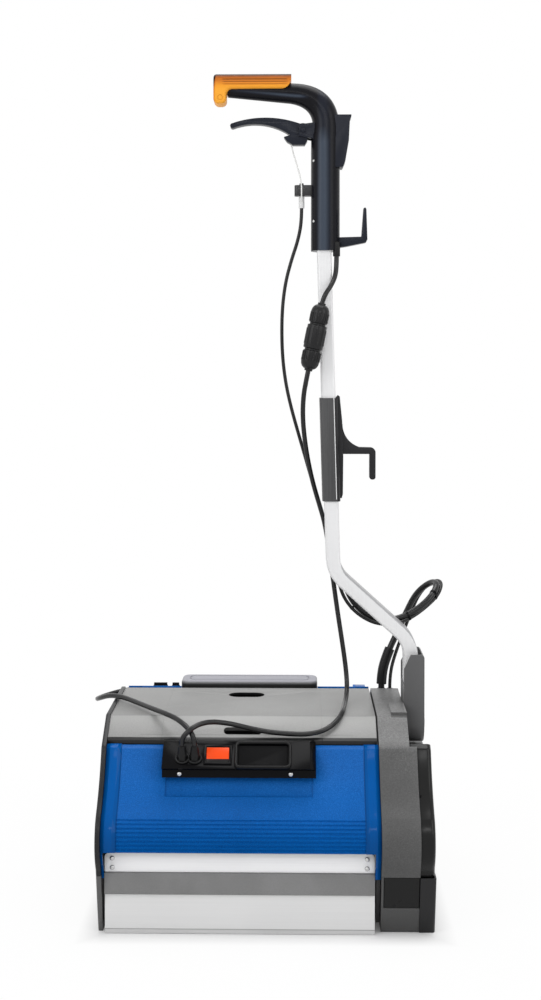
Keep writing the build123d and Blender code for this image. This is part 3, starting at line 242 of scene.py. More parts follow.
def handle_sleeve():
    """Grey clamp sleeve with its darker hook beside it, a painted highlight along the sleeve's left edge and
    a painted reflection, lighter on its left side than on its right.
    """
    mat = Finish("hook_sleeve_moulding", 0.42, specular=0.25)
    fine = mat.noise(1000.0)
    streak = mat.mottle(mat.noise(1.0, 3.0, 0.6, (420, 420, 9)), 0.3, 0.5)
    across = mat.plus(mat.x, mat.times(mat.minus(mat.z, HOOK_MIDDLE), HOOK_LEAN))
    hook = mat.times(mat.past(across, HOOK_EDGE, HOOK_SOFT), 0.5)
    # painted highlight along the sleeve's left edge
    edge = mat.span(across, 0.0725, 0.0755, -0.3, 0.0)
    # painted reflection: lighter on the sleeve's left side, darker on its right
    fac = mat.plus(streak, mat.span(across, 0.074, 0.094, -0.1, 0.08), edge, hook)
    mat.tint(fac, (0.0, grey(128)), (0.26, srgb(82, 82, 83)), (0.58, srgb(64, 64, 65)),
             (0.74, srgb(34, 34, 36)), (1.0, srgb(28, 28, 30)))
    return mat.surface(fine, 0.00004, fine, 0.38, 0.5)


GROOVE_HEIGHTS, GROOVE_SQUARE = (1.1402, 1.1368, 1.1334), 4.0e-7
PLUG_X, PLUG_Z, PLUG_RADIUS, PLUG_HALF, PLUG_SOFT = -0.0672, 1.115, 0.0034, 0.0004, 0.0002


def grip_skin():
    """Orange grip cover: fine grooves along both flanks and a small round plug on the nose, with painted
    shade in the grooves, round the plug, towards the top and along the left end.
    """
    mat = Finish("grip_moulding", 0.34, specular=0.06)
    fine = mat.noise(1100.0)
    lines = []
    for height in GROOVE_HEIGHTS:
        off = mat.minus(mat.z, height)
        lines.append(mat.span(mat.times(off, off), 0.0, GROOVE_SQUARE, 1.0, 0.0))
    reach = mat.band(mat.x, -0.064, 0.026, 0.002)
    dx, dz = mat.minus(mat.x, PLUG_X), mat.minus(mat.z, PLUG_Z)
    from_plug = mat.reckon("POWER", mat.plus(mat.times(dx, dx), mat.times(dz, dz)), 0.5)
    ring = mat.before(mat.size(mat.minus(from_plug, PLUG_RADIUS)), PLUG_HALF, PLUG_SOFT)
    groove = mat.larger(mat.times(mat.larger(*lines), reach), ring)
    cloud = mat.mottle(mat.cloud(16.0), -0.03, 0.03)
    # painted shade: the orange darkens towards the top of the grip
    top_shade = mat.span(mat.z, 1.126, 1.1478)
    # painted shade along the left end of the grip
    rim = mat.span(mat.x, -0.0766, -0.0735, 0.55, 0.0)
    # the grooves and the plug's ring are painted darker too: painted shade in them
    mat.tint(mat.plus(cloud, top_shade, mat.times(groove, 0.3), rim),
             (0.0, srgb(246, 170, 60)), (0.25, srgb(242, 160, 52)), (0.5, srgb(216, 130, 46)),
             (0.72, srgb(186, 104, 38)), (0.86, srgb(136, 72, 26)), (0.98, srgb(34, 17, 8)))
    mat.bump(mat.span(groove, 0, 1, 1.0, 0.0), 0.0006)
    return mat.surface(fine, 0.00003, fine, 0.3, 0.4)


def toned_by_height(name, roughness, specular, grain, heights, fleck, depth, gloss, stops, tones=(0, 1)):
    """Plastic whose tone changes between two heights, with a fine fleck."""
    mat = Finish(name, roughness, specular=specular)
    fine = mat.noise(grain)
    mat.tint(mat.plus(mat.span(mat.z, *heights, *tones), mat.mottle(fine, *fleck)), *stops)
    return mat.surface(fine, depth, fine, *gloss)


LID_MARKS, MARK_HALF, MARK_SOFT = (-0.1412, 0.0736), 0.00035, 0.00025
LID_FOLD, FOLD_HALF = -0.1099, 0.00045
LIP_EDGE, LIP_SOFT = -0.1136, 0.0004
SLOT_LEFT, SLOT_RIGHT, SLOT_FRONT = -0.0615, -0.003, -0.1116


def lid_skin():
    """Grey tank lid: faint moulding lines, a dark lip along its front edge, painted light and shade on its
    front slope and painted shade on the slot walls.
    """
    mat = Finish("tank_lid_moulding", 0.36, specular=0.3)
    fine = mat.noise(800.0)
    cloud = mat.cloud(6.0)
    side_marks = [mat.band(mat.x, at - MARK_HALF, at + MARK_HALF, MARK_SOFT) for at in LID_MARKS]
    fold = mat.band(mat.y, LID_FOLD - FOLD_HALF, LID_FOLD + FOLD_HALF, MARK_SOFT)
    fold = mat.times(fold, mat.band(mat.x, -0.171, 0.115, 0.001), 1.6)
    marks = mat.plus(*side_marks, fold)
    lip = mat.before(mat.y, LIP_EDGE, LIP_SOFT)
    # painted light and shade: a lighter band where the front slope begins, turning darker towards the front
    # edge
    painted_slope_shading = mat.plus(mat.span(mat.y, -0.0832, -0.0815, -0.25, 0.0),
                     mat.span(mat.y, -0.112, -0.087, 0.19, 0.0))
    # painted shade on the walls of the slot
    slot_wall_shade = mat.times(mat.span(mat.upward(), 0.2, 0.55, 1.0, 0.0),
                          mat.past(mat.y, SLOT_FRONT, LIP_SOFT),
                          mat.band(mat.x, SLOT_LEFT, SLOT_RIGHT, 0.0005))
    tone = mat.plus(mat.mottle(cloud, 0.21, 0.29), mat.times(marks, 0.05), painted_slope_shading,
                    mat.mottle(fine, -0.05, 0.05), mat.times(mat.plus(lip, slot_wall_shade), 0.75))
    mat.tint(tone, (0.0, srgb(157, 157, 156)), (0.25, srgb(129, 129, 128)), (0.5, srgb(98, 98, 97)),
             (0.9, srgb(18, 18, 19)))
    mat.bump(mat.span(marks, 0, 1, 1.0, 0.0), 0.0002)
    return mat.surface(fine, 0.00004, cloud, 0.32, 0.42)


NECK_START, NECK_SLOPE, NECK_LINE = 0.0474, 0.1, 1.1258


def column_skin():
    """Dark blue-grey column with a painted highlight down its front and a painted highlight streak along the
    neck under the grip.
    """
    mat = Finish("column_moulding", 0.26, specular=0.1)
    fine = mat.noise(1000.0)
    # painted highlight down the column's front
    front_highlight = mat.times(mat.span(mat.x, 0.0668, 0.0725), mat.span(mat.x, 0.079, 0.0885, 1.0, 0.0),
                       mat.span(mat.z, 1.052, 1.075, 1.0, 0.35))
    # painted highlight streak along the neck, just under the grip
    height = mat.plus(mat.z, mat.times(mat.plus(mat.x, NECK_START), NECK_SLOPE))
    beside = mat.size(mat.minus(height, NECK_LINE))
    neck_highlight = mat.times(mat.span(mat.x, -0.06, 0.03, 0.3, 1.0), mat.span(mat.x, 0.044, 0.058, 1.0, 0.0),
                     mat.span(beside, 0.0004, 0.0034, 1.0, 0.0))
    fac = mat.plus(front_highlight, mat.mottle(mat.cloud(9.0), -0.05, 0.05), neck_highlight)
    mat.tint(fac, (0.0, srgb(20, 20, 24)), (0.35, srgb(30, 33, 42)), (1.0, srgb(64, 72, 84)))
    return mat.surface(fine, 0.00003, fine, 0.22, 0.3)


DRAWN_UP, DRAWN_ALONG = (700, 700, 4), (4, 700, 700)


def tube_skin():
    """White lacquered tube, with painted shade that makes the faces looking up greyer."""
    mat = Finish("tube_lacquer", 0.4, 0.1)
    drawn = mat.drawn(DRAWN_UP)
    # painted shade on the faces that look up
    upper = mat.times(mat.span(mat.upward(), 0.08, 0.4), 0.6)
    cloud = mat.mottle(mat.cloud(6.0), 0.0, 0.1)
    mat.tint(mat.plus(mat.mottle(drawn, 0.0, 0.12), cloud, upper), (0.0, srgb(234, 234, 235)),
             (0.25, srgb(224, 224, 225)), (0.7, srgb(158, 158, 160)), (1.0, srgb(146, 146, 148)))
    return mat.surface(drawn, 0.000005, drawn, 0.34, 0.46)


GUARD_FOLD, GUARD_FOLD_TOP = 0.0061, 0.0072


def guard_skin():
    """Pale guard sheet, with painted shade along the fold line of its bottom lip and on the lip below the
    fold.
    """
    mat = Finish("guard_sheet", 0.42, 0.15)
    drawn = mat.drawn(DRAWN_ALONG)
    # painted shade along the fold line and on the lip below it
    fold = mat.times(mat.past(mat.z, GUARD_FOLD, 0.0003), mat.before(mat.z, GUARD_FOLD_TOP, 0.0004), 0.7)
    below = mat.times(mat.before(mat.z, GUARD_FOLD, 0.0003), 0.28)
    cloud = mat.mottle(mat.cloud(5.0), 0.0, 0.12)
    mat.tint(mat.plus(mat.mottle(drawn, 0.05, 0.15), cloud, fold, below),
             (0.0, grey(224)), (0.3, grey(214)), (0.6, grey(180)), (1.0, grey(120)))
    return mat.surface(drawn, 0.00002, drawn, 0.36, 0.48)


LEDGE_X, LEDGE_Z, LEDGE_FRONT = 0.16775, 0.2632, -0.0795
LEDGE_RIM_X, LEDGE_RIM_Z = 0.1877, 0.2683


def drive_housing_skin():
    """Grey sand-grained housing, with painted shade towards its lower edge and on the front of its ledge,
    painted light on its upper part and a painted highlight along the ledge's right edge.
    """
    mat = Finish("drive_housing_moulding", 0.46, specular=0.3)
    grain = mat.noise(560.0, 3.0, 0.65)
    cloud = mat.noise(11.0, 4.0)
    # painted shade: darker towards the lower edge
    foot = mat.span(mat.z, 0.08, 0.22, 0.14, 0.02)
    # painted light: lighter on the upper part above the crease
    top = mat.span(mat.z, 0.229, 0.24, 0.0, -0.26)
    ledge = mat.times(mat.past(mat.x, LEDGE_X, 0.00025), mat.past(mat.z, LEDGE_Z, 0.0002))
    # painted shade on the front face of the ledge
    front = mat.times(ledge, mat.before(mat.y, LEDGE_FRONT, 0.0002), 0.45)
    # painted highlight: a lighter line along the ledge's right edge
    rim = mat.times(mat.past(mat.x, LEDGE_RIM_X, 0.0005), mat.past(mat.z, LEDGE_RIM_Z, 0.0003))
    rim = mat.times(ledge, rim, -0.4)
    tone = mat.plus(mat.mottle(grain, 0.3, 0.6), mat.mottle(cloud, -0.1, 0.1), foot, top, front, rim)
    mat.tint(tone, (0.0, grey(134)), (0.2, grey(108)), (0.45, grey(82)), (1.0, grey(48)))
    return mat.surface(grain, 0.00016, cloud, 0.4, 0.52)


def sheet_metal(name, colour, roughness, metallic):
    """Anodised or lacquered sheet with a faint drawn grain along X."""
    mat = Finish(name, roughness, metallic)
    drawn = mat.drawn(DRAWN_ALONG)
    mat.speckle(colour, 0.95, 1.04, drawn, mat.cloud(6.0), 0.4, 0.9)
    return mat.surface(drawn, 0.00002, drawn, roughness * 0.85, roughness * 1.15)


def rubber(name, colour, roughness, specular=0.35):
    mat = Finish(name, roughness, specular=specular)
    fine = mat.noise(1500.0)
    cloud = mat.cloud(14.0)
    mat.speckle(colour, 0.8, 1.25, fine, cloud, 0.6)
    return mat.surface(fine, 0.00004, cloud, roughness * 0.88, min(1.0, roughness * 1.12))


def turned_metal(name, colour, roughness):
    mat = Finish(name, roughness, 1.0)
    fine = mat.cloud(1800.0)
    mat.tint(mat.noise(60.0), (0.3, shade(colour, 0.86)), (0.7, colour))
    return mat.surface(fine, 0.00001, fine, roughness * 0.8, roughness * 1.25)


finishes = {
    "blue_shell": blue_cover(),
    "dark_plastic": moulded("dark_moulding", srgb(34, 34, 35), 0.34, 700.0, specular=0.22),
    "grey_plastic": moulded("pale_end_moulding", grey(88), 0.44, 700.0, specular=0.3),
    "housing_grey": drive_housing_skin(),
    "black_plastic": moulded("black_moulding", srgb(9, 9, 11), 0.2, depth=0.00003, specular=0.07),
    "tank_grey": moulded("tank_moulding", srgb(36, 36, 37), 0.4, 800.0, 0.00005, 0.08, specular=0.2),
    "pale_plastic": moulded("pale_moulding", srgb(152, 153, 160), 0.42, specular=0.3),
    "guard_metal": guard_skin(),
    "plate_dark": moulded("bearing_plate_black", srgb(22, 22, 23), 0.5),
    "frame_metal": sheet_metal("frame_sheet", grey(190), 0.4, 0.9),
    "tube_metal": tube_skin(),
    "bracket_metal": moulded("bracket_coating", srgb(88, 88, 89), 0.4, 1200.0, specular=0.3),
    "steel": turned_metal("bright_steel", grey(205), 0.25),
    "bush_brass": turned_metal("bush_bronze", srgb(190, 150, 80), 0.35),
    "motor_paint": moulded("motor_enamel", srgb(40, 40, 42), 0.3, 400.0),
    "bumper_rubber": rubber("bumper_rubber", grey(122), 0.62),
    "soft_rubber": rubber("gland_rubber", srgb(20, 20, 21), 0.36, specular=0.2),
    "brush_core": moulded("roller_core", srgb(200, 198, 190), 0.5),
    "bristle_nylon": rubber("bristle_nylon", srgb(92, 98, 110), 0.45),
    "drum_plastic": moulded("drum_moulding", srgb(52, 52, 54), 0.3),
    "gear_plastic": moulded("gear_acetal", srgb(225, 220, 205), 0.4),
    "handle_dark": moulded("handle_moulding", srgb(30, 33, 42), 0.3, 1000.0, 0.00004, specular=0.14),
    "grip_orange": grip_skin(),
    "rocker_orange": toned_by_height(
        "rocker_moulding", 0.24, 0.25, 900.0, heights=(0.2238, 0.2244), tones=(0.85, 0.0), fleck=(0.0, 0.1),
        depth=0.00001, gloss=(0.2, 0.28), stops=(
            (0.0, srgb(242, 76, 16)), (0.3, srgb(232, 66, 12)),
            (0.6, srgb(24, 20, 20)), (1.0, srgb(22, 22, 23)))),
    "cord_black": rubber("cord_sheath", srgb(20, 20, 21), 0.26, specular=0.34),
}
white_wire = moulded("inner_wire_sheath", srgb(226, 226, 224), 0.35, 1500.0)
coupling_shell = moulded("coupling_moulding", srgb(32, 32, 33), 0.3, 1100.0, 0.00003, specular=0.2)
rim_shell = moulded("socket_rim_moulding", srgb(14, 14, 15), 0.22, depth=0.00003, specular=0.14)
own_finish = {
    "socket_lid": moulded("socket_flap_moulding", srgb(14, 14, 15), 0.5, depth=0.00003, specular=0.05),
    "hook_sleeve": handle_sleeve(),
    "tank_lid": lid_skin(),
    "cable_anchor": toned_by_height(
        "cable_stop_moulding", 0.4, 0.5, 1200.0, heights=(0.9787, 0.9791), fleck=(-0.04, 0.04),
        depth=0.00004, gloss=(0.34, 0.46), stops=(
            (0.0, grey(222)), (0.3, grey(214)), (0.7, srgb(34, 34, 36)), (1.0, srgb(28, 28, 30)))),
    "drive_housing_lower": moulded("drive_base_moulding", grey(72), 0.46, 600.0, 0.0001, 0.12, specular=0.3),
    # painted light: the clamp bars get a paler sheet finish than the guard sheets, making up for the shade
    # under the cover's nose
    "clamp_strips": sheet_metal("clamp_sheet", srgb(242, 242, 243), 0.4, 0.05),
    "handle_column": column_skin(),
    # painted shade: the carry plate's front face grows dark towards its lower edge
    "carry_handle": toned_by_height(
        "carry_plate_moulding", 0.42, 0.3, 900.0, heights=(0.2585, 0.2688), fleck=(-0.02, 0.02),
        depth=0.00005, gloss=(0.38, 0.46), stops=(
            (0.0, srgb(14, 14, 15)), (0.5, grey(34)),
            (0.85, srgb(122, 122, 125)), (1.0, srgb(152, 152, 160)))),
    "drive_outer_cover": moulded("drive_cap_gloss", grey(20), 0.2, depth=0.00002, specular=0.2),
    "inline_connector": coupling_shell,
    "gear_covers": moulded("gear_cover_moulding", grey(34), 0.3, depth=0.00003, specular=0.1),
}


# Meshes
def new_object(name, data):
    obj = bpy.data.objects.new(name, data)
    scene.collection.objects.link(obj)
    return obj


def drop(obj):
    bpy.data.objects.remove(obj)


def turns(count):
    """Angles of equal steps round a circle."""
    return [2 * math.pi * k / count for k in range(count)]


def settle(obj, body, material=None):
    """Gives a finished mesh its material and body."""
    if material:
        obj.data.materials.clear()
        obj.data.materials.append(material)
    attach(obj, body)


def evaluated_mesh(obj):
    dg = bpy.context.evaluated_depsgraph_get()
    return bpy.data.meshes.new_from_object(obj.evaluated_get(dg))


def finished_mesh(obj):
    """The object keeps the result of its modifiers as plain data."""
    made = evaluated_mesh(obj)
    obj.modifiers.clear()
    obj.data = made
    return obj


def smooth(obj, angle):
    obj.data.shade_smooth()
    obj.data.set_sharp_from_angle(angle=math.radians(angle))


def skin(work, rings, closed=False, low_cap=True, top_cap=True):
    """Faces from ring to ring of points in metres; a ring of one point makes a tip."""
    loops = [[work.verts.new(point) for point in ring] for ring in rings]
    for a, b in zip(loops, loops[1:] + (loops[:1] if closed else [])):
        count = max(len(a), len(b))
        for k in range(count):
            j = (k + 1) % count
            corners = (a[k % len(a)], a[j % len(a)], b[j % len(b)], b[k % len(b)])
            work.faces.new(list(dict.fromkeys(corners)))
    if low_cap:
        work.faces.new(list(reversed(loops[0])))
    if top_cap:
        work.faces.new(loops[-1])


def made_object(name, work):
    bmesh.ops.recalc_face_normals(work, faces=work.faces)
    mesh = bpy.data.meshes.new(name)
    work.to_mesh(mesh)
    work.free()
    return new_object(name, mesh)


def lofted(name, rings, closed=False, capped=True):
    work = bmesh.new()
    skin(work, rings, closed, capped, capped)
    return made_object(name, work)


def prism(name, outline, y0, y1):
    """Closed solid with an outline in X and Z (mm), from y0 to y1."""
    return lofted(name, [[(x * MM, y * MM, z * MM) for x, z in outline] for y in (y0, y1)])


def solid_of_turn(name, profile, sides=24):
    """Solid of revolution about Z from (radius, height) pairs in mm; a radius of 0 is a tip."""
    rings = []
    for r, h in profile:
        angles = turns(sides) if r else [0.0]
        rings.append([(r * math.cos(a) * MM, r * math.sin(a) * MM, h * MM) for a in angles])
    return lofted(name, rings, capped=False)


def ring_points(at, side, other, radius, sides):
    return [at + (side * math.cos(a) + other * math.sin(a)) * radius * MM for a in turns(sides)]


def tube_mesh(name, path, radius, sides):
    """Closed round tube along points in metres, with frames carried along the path; radius in mm."""
    last = len(path) - 1
    tangents = [(path[min(i + 1, last)] - path[max(i - 1, 0)]).normalized() for i in range(last + 1)]
    side = tangents[0].orthogonal().normalized()
    rings = []
    for at, along in zip(path, tangents):
        side = (side - along * side.dot(along)).normalized()
        rings.append(ring_points(at, side, along.cross(side), radius, sides))
    tube = lofted(name, rings)
    smooth(tube, 50)
    return tube


def ring_mesh(name, loop, radius, sides=12):
    """Closed round ring along a loop of points in metres; radius in mm."""
    count = len(loop)
    normal = (loop[count // 4] - loop[0]).cross(loop[count // 2] - loop[0]).normalized()
    rings = []
    for i, at in enumerate(loop):
        along = (loop[(i + 1) % count] - loop[i - 1]).normalized()
        rings.append(ring_points(at, along.cross(normal).normalized(), normal, radius, sides))
    ring = lofted(name, rings, closed=True, capped=False)
    ring.data.shade_smooth()
    return ring


def block(work, size, centre=(0, 0, 0)):
    """Adds a box in mm to a mesh at work."""
    made = bmesh.ops.create_cube(work, size=1.0)
    bmesh.ops.scale(work, vec=[s * MM for s in size], verts=made["verts"])
    bmesh.ops.translate(work, vec=[c * MM for c in centre], verts=made["verts"])


def bar(name, size):
    work = bmesh.new()
    block(work, size)
    bmesh.ops.bevel(work, geom=work.edges, offset=0.25 * MM, segments=1, affect="EDGES")
    return made_object(name, work)


def carve(obj, cutter, overlapping=False):
    """Takes a cutter, whose own boxes may be overlapping, away from a piece."""
    cut = obj.modifiers.new("cut", "BOOLEAN")
    cut.operation = "DIFFERENCE"
    cut.object = cutter
    cut.solver = "EXACT"
    cut.use_self = overlapping
    finished_mesh(obj)
    drop(cutter)


def arc(x, z, radius, start, end, steps=10):
    """Points on an arc in a plane, angles in degrees."""
    angles = [math.radians(start + (end - start) * k / steps) for k in range(steps + 1)]
    return [(x + radius * math.cos(a), z + radius * math.sin(a)) for a in angles]


# Pieces from the CAD nodes
EDGE_ANGLE, EDGE_SEGMENTS, FLAT_ANGLE, WELD = 32.0, 2, 0.6, 2e-6


def dress(node, name, edge):
    """A smooth-shaded copy of a CAD node with softened edges (mm) stands for the node."""
    mesh = nodes[node].data.copy()
    work = bmesh.new()
    work.from_mesh(mesh)
    bmesh.ops.remove_doubles(work, verts=work.verts, dist=WELD)
    bmesh.ops.dissolve_limit(work, angle_limit=math.radians(FLAT_ANGLE), verts=work.verts, edges=work.edges)
    work.to_mesh(mesh)
    work.free()
    obj = new_object(name, mesh)
    if edge:
        bevel = obj.modifiers.new("edge", "BEVEL")
        bevel.width = edge * MM
        bevel.segments = EDGE_SEGMENTS
        bevel.limit_method = "ANGLE"
        bevel.angle_limit = math.radians(EDGE_ANGLE)
        finished_mesh(obj)
    smooth(obj, EDGE_ANGLE)
    slot = slot_of_node[node]
    settle(obj, body_of_node[node], own_finish.get(node, finishes[slot]))
    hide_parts(node)
    return obj


for node, obj in nodes.items():
    obj.data.materials.clear()
    obj.data.materials.append(finishes[slot_of_node[node]])

dressed = {
    "left_end_plate": ("left_end_cover", 0.4), "left_lower_plate": ("left_skirt", 0.4),
    "drive_housing": ("drive_housing_upper", 0.8), "drive_housing_lower": ("drive_housing_base", 0.5),
    "gear_covers": ("gear_cover_pair", 0.9), "drive_outer_cover": ("drive_cap_upper", 0.6),
    "drive_lower_cover": ("drive_cap_lower", 1.0), "front_shell": ("front_cover", 0.9),
    "rear_shell": ("rear_cover", 0.4), "carry_handle": ("carry_plate", 0.4),
    "tank_lid": ("tank_lid_panel", 0.5), "guard_panels": ("guard_sheets", 0.2),
    "bumper_strips": ("bumper_bands", 0.3), "clamp_strips": ("clamp_bars", 0.4),
    "control_box": ("control_box_case", 0.6), "rocker_bezel": ("rocker_frame", 0.3),
    "rocker_switch": ("rocker_paddle", 0.5), "socket_lid": ("socket_flap", 0.4),
    "handle_tube": ("handle_bar", 0.0), "pivot_bracket": ("pivot_channel", 0.8),
    "handle_column": ("grip_column", 0.0), "grip_cap": ("grip_cover", 0.6),
    "switch_box": ("switch_housing", 1.0), "upper_cord_hook": ("upper_hook", 1.2),
    "hook_sleeve": ("lower_hook", 1.2), "trigger_lever": ("pull_lever", 0.8),
    "lever_bracket": ("lever_cheeks", 0.4), "cable_anchor": ("cable_stop_arm", 0.5),
    "inline_connector": ("cord_coupling", 0.3), "lead_glands": ("lead_relief_set", 0.3),
    "filler_cap": ("filler_screw_cap", 0.4), "vent_cap": ("vent_screw_cap", 0.3),
    "handle_glands": ("handle_grommets", 0.3),
}
pieces = {node: dress(node, name, edge) for node, (name, edge) in dressed.items()}


def round_corner(node, outline, half_depth):
    """Takes a corner, with its outline in X and Z (mm), off a dressed piece."""
    carve(pieces[node], prism(node + "_corner", outline, -half_depth, half_depth))
    pieces[node].data.set_sharp_from_angle(angle=math.radians(EDGE_ANGLE))


CORNER_OUT, GRIP_DEPTH, GUARD_DEPTH = 2.0, 20.0, 200.0
GRIP_END, GRIP_LOW, GRIP_ROUND, GRIP_BELOW = 32.0, 1127.3, 15.0, 1121.3
GUARD_X0, GUARD_X1, GUARD_TOP, GUARD_ROUND = -210.0, 141.0, 107.0, 6.0
corner_x, corner_z = GRIP_END - GRIP_ROUND, GRIP_LOW + GRIP_ROUND
outer_x = GRIP_END + CORNER_OUT
round_corner("grip_cap", arc(corner_x, corner_z, GRIP_ROUND, -90, 0)
             + [(outer_x, corner_z), (outer_x, GRIP_BELOW), (corner_x, GRIP_BELOW)], GRIP_DEPTH)
corner_z, outer_z = GUARD_TOP - GUARD_ROUND, GUARD_TOP + CORNER_OUT
for end, inward, start in ((GUARD_X0, 1, 180), (GUARD_X1, -1, 0)):
    corner_x, outer_x = end + inward * GUARD_ROUND, end - inward * CORNER_OUT
    round_corner("guard_panels", arc(corner_x, corner_z, GUARD_ROUND, start, 90)
                 + [(corner_x, outer_z), (outer_x, outer_z), (outer_x, corner_z)], GUARD_DEPTH)


# Cords
def spline(name, points, radius=None):
    """Smooth curve along a route's points (mm), round where a radius is given."""
    curve = bpy.data.curves.new(name, "CURVE")
    curve.dimensions = "3D"
    curve.resolution_u = 6
    line = curve.splines.new("NURBS")
    line.points.add(len(points) - 1)
    for point, at in zip(line.points, points):
        point.co = (at[0] * MM, at[1] * MM, at[2] * MM, 1.0)
    line.order_u = 3
    line.use_endpoint_u = True
    if radius:
        curve.bevel_depth = radius * MM
        curve.bevel_resolution = 4
        curve.use_fill_caps = True
    return new_object(name, curve)


def read_path(points):
    """Points along the route's smooth curve, in metres."""
    guide = spline("route", points)
    mesh = evaluated_mesh(guide)
    path = [v.co.copy() for v in mesh.vertices]
    drop(guide)
    bpy.data.meshes.remove(mesh)
    return path


def path_length(path):
    return sum((b - a).length for a, b in zip(path, path[1:]))


POWER, MOTOR, CABLE, LEAD = 3.4, 4.6, 2.5, 3.5
# Each cord's radius, the nodes that it stands for and its route, in mm
cord_runs = {
    "switch_cord": (POWER, ["power_cord_upper"], [
        (95.5, -11, 893.5), (95.5, -11, 881), (93.5, -17, 864), (86, -27.5, 849), (78.4, -31, 838.5),
        (74.9, -31, 827)]),
    "control_lead": (POWER, ["power_cord_middle", "control_lead"], [
        (55.6, -31, 733), (52.61, -31, 718.43), (49, -26.5, 698), (48, -16, 670), (50.5, -4, 640),
        (55.5, 8, 607), (63, 16.5, 573), (72.5, 20.8, 541), (80.5, 21, 514), (88.5, 20, 462),
        (91.5, 19.4, 438), (95, 17.5, 412), (99, 15.5, 384), (103.5, 14, 355), (107.5, 13, 328),
        (110.5, 10.5, 304), (111.5, 4, 285), (110, -9, 275), (107.5, -28, 270.5), (105, -52, 269.4),
        (102.5, -77, 269.4), (95.5, -96, 262.3), (79, -111.5, 252.5), (55, -118, 248.3),
        (28, -117, 248.8), (1, -116.5, 251), (-24, -118, 256.5), (-49, -125, 264.5), (-72, -137, 270),
        (-87, -148.5, 270), (-98.5, -157.5, 265.5), (-106, -160.5, 258.5), (-110.5, -157.03, 251.55),
        (-110.5, -154.45, 242.93)]),
    "motor_lead": (MOTOR, ["motor_lead"], [
        (108, 20.5, 434), (108, 33, 434), (109.5, 43, 427.5), (113, 47, 416), (119, 46, 403),
        (130, 42, 389.5), (147, 38, 378), (171, 35.5, 373), (197, 36, 379.5), (221, 40, 394),
        (239, 49, 411), (246, 68, 424), (236, 88, 421), (217, 98, 403), (203, 99, 375), (189, 97, 344),
        (174.5, 94, 314), (165.5, 91, 285), (165.5, 91, 263)]),
    "pull_cable": (CABLE, ["cable_upper", "cable_lower"], [
        (46.5, 0, 962), (46.5, 0, 943), (41.5, 2, 917), (32, 4, 889), (24, 6, 859), (19.6, 8, 826),
        (18.4, 10, 790), (19.6, 12, 752), (24, 14, 716), (31.5, 16, 682), (41, 18.5, 648),
        (51.5, 21.5, 612), (62.5, 25.5, 573), (73, 28.8, 540), (82, 30, 513.1), (96.7, 30, 460.4),
        (99.3, 31, 434), (106, 30.5, 410), (119, 29.8, 391.5), (136, 29.4, 378), (156, 29.2, 369.5),
        (180, 29.6, 369), (204, 34, 377), (227, 46, 391), (247, 57, 408), (254, 77, 424), (243, 97, 423),
        (224, 106, 404), (211, 106.5, 375), (199, 104, 344), (187, 99.5, 314), (178, 91, 285),
        (178, 91, 263)]),
    "loop_lead": (LEAD, ["loop_lead"], [
        (-94, -154.45, 242.93), (-94, -156.17, 248.67), (-96.8, -154.6, 257.5), (-103, -148.5, 264),
        (-112, -138, 269), (-122, -124, 271.5), (-136, -108, 273), (-154, -82, 272.5), (-172, -54, 271.5),
        (-190, -27, 271), (-208, -4, 271), (-228, 15, 268.6), (-247, 36, 259), (-253, 62, 252),
        (-248, 87, 250), (-235, 107, 250.5), (-218, 120, 252), (-203, 126, 253), (-192, 126.6, 251.8),
        (-186.5, 126, 248), (-186, 126, 243)]),
}
paths = {name: read_path(points) for name, (_, _, points) in cord_runs.items()}
slack = paths["motor_lead"]
slack_along = [path_length(slack[:i + 1]) for i in range(len(slack))]
CORD_SIDES = 14
SLACK_FREE, SLACK_PORT = 0.112, 0.025


def nearest(path, at):
    """Index of the path point next to a place in metres."""
    return min(range(len(path)), key=lambda i: (path[i] - at).length)


def handle_share(at):
    """Share of the handle's tilt that a place on the slack takes, by the length along the motor lead."""
    port = slack_along[-1] - SLACK_PORT
    return min(1.0, max(0.0, (port - slack_along[nearest(slack, at)]) / (port - SLACK_FREE)))


def bend_slack(piece, shares):
    verts = piece.data.vertices
    rest = [v.co.copy() for v in verts]
    for v, share in zip(verts, shares):
        v.co = (0, 0, share)
    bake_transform(piece)
    for v, co in zip(verts, rest):
        v.co = co


def ring_shares(path, sides):
    return [handle_share(at) for at in path for _ in range(sides)]


crossing = ("control_lead", "motor_lead", "pull_cable")
for name, (radius, stands_for, points) in cord_runs.items():
    title = name + "_run"
    if name in crossing:
        piece = tube_mesh(title, paths[name], radius, CORD_SIDES)
    else:
        piece = spline(title, points, radius)
    piece.data.materials.append(finishes["cord_black"])
    if name not in crossing:
        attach(piece, body_of_node[stands_for[0]])
    elif name == "control_lead":
        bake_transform(piece)
    else:
        bend_slack(piece, ring_shares(paths[name], CORD_SIDES))
    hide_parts(*stands_for)


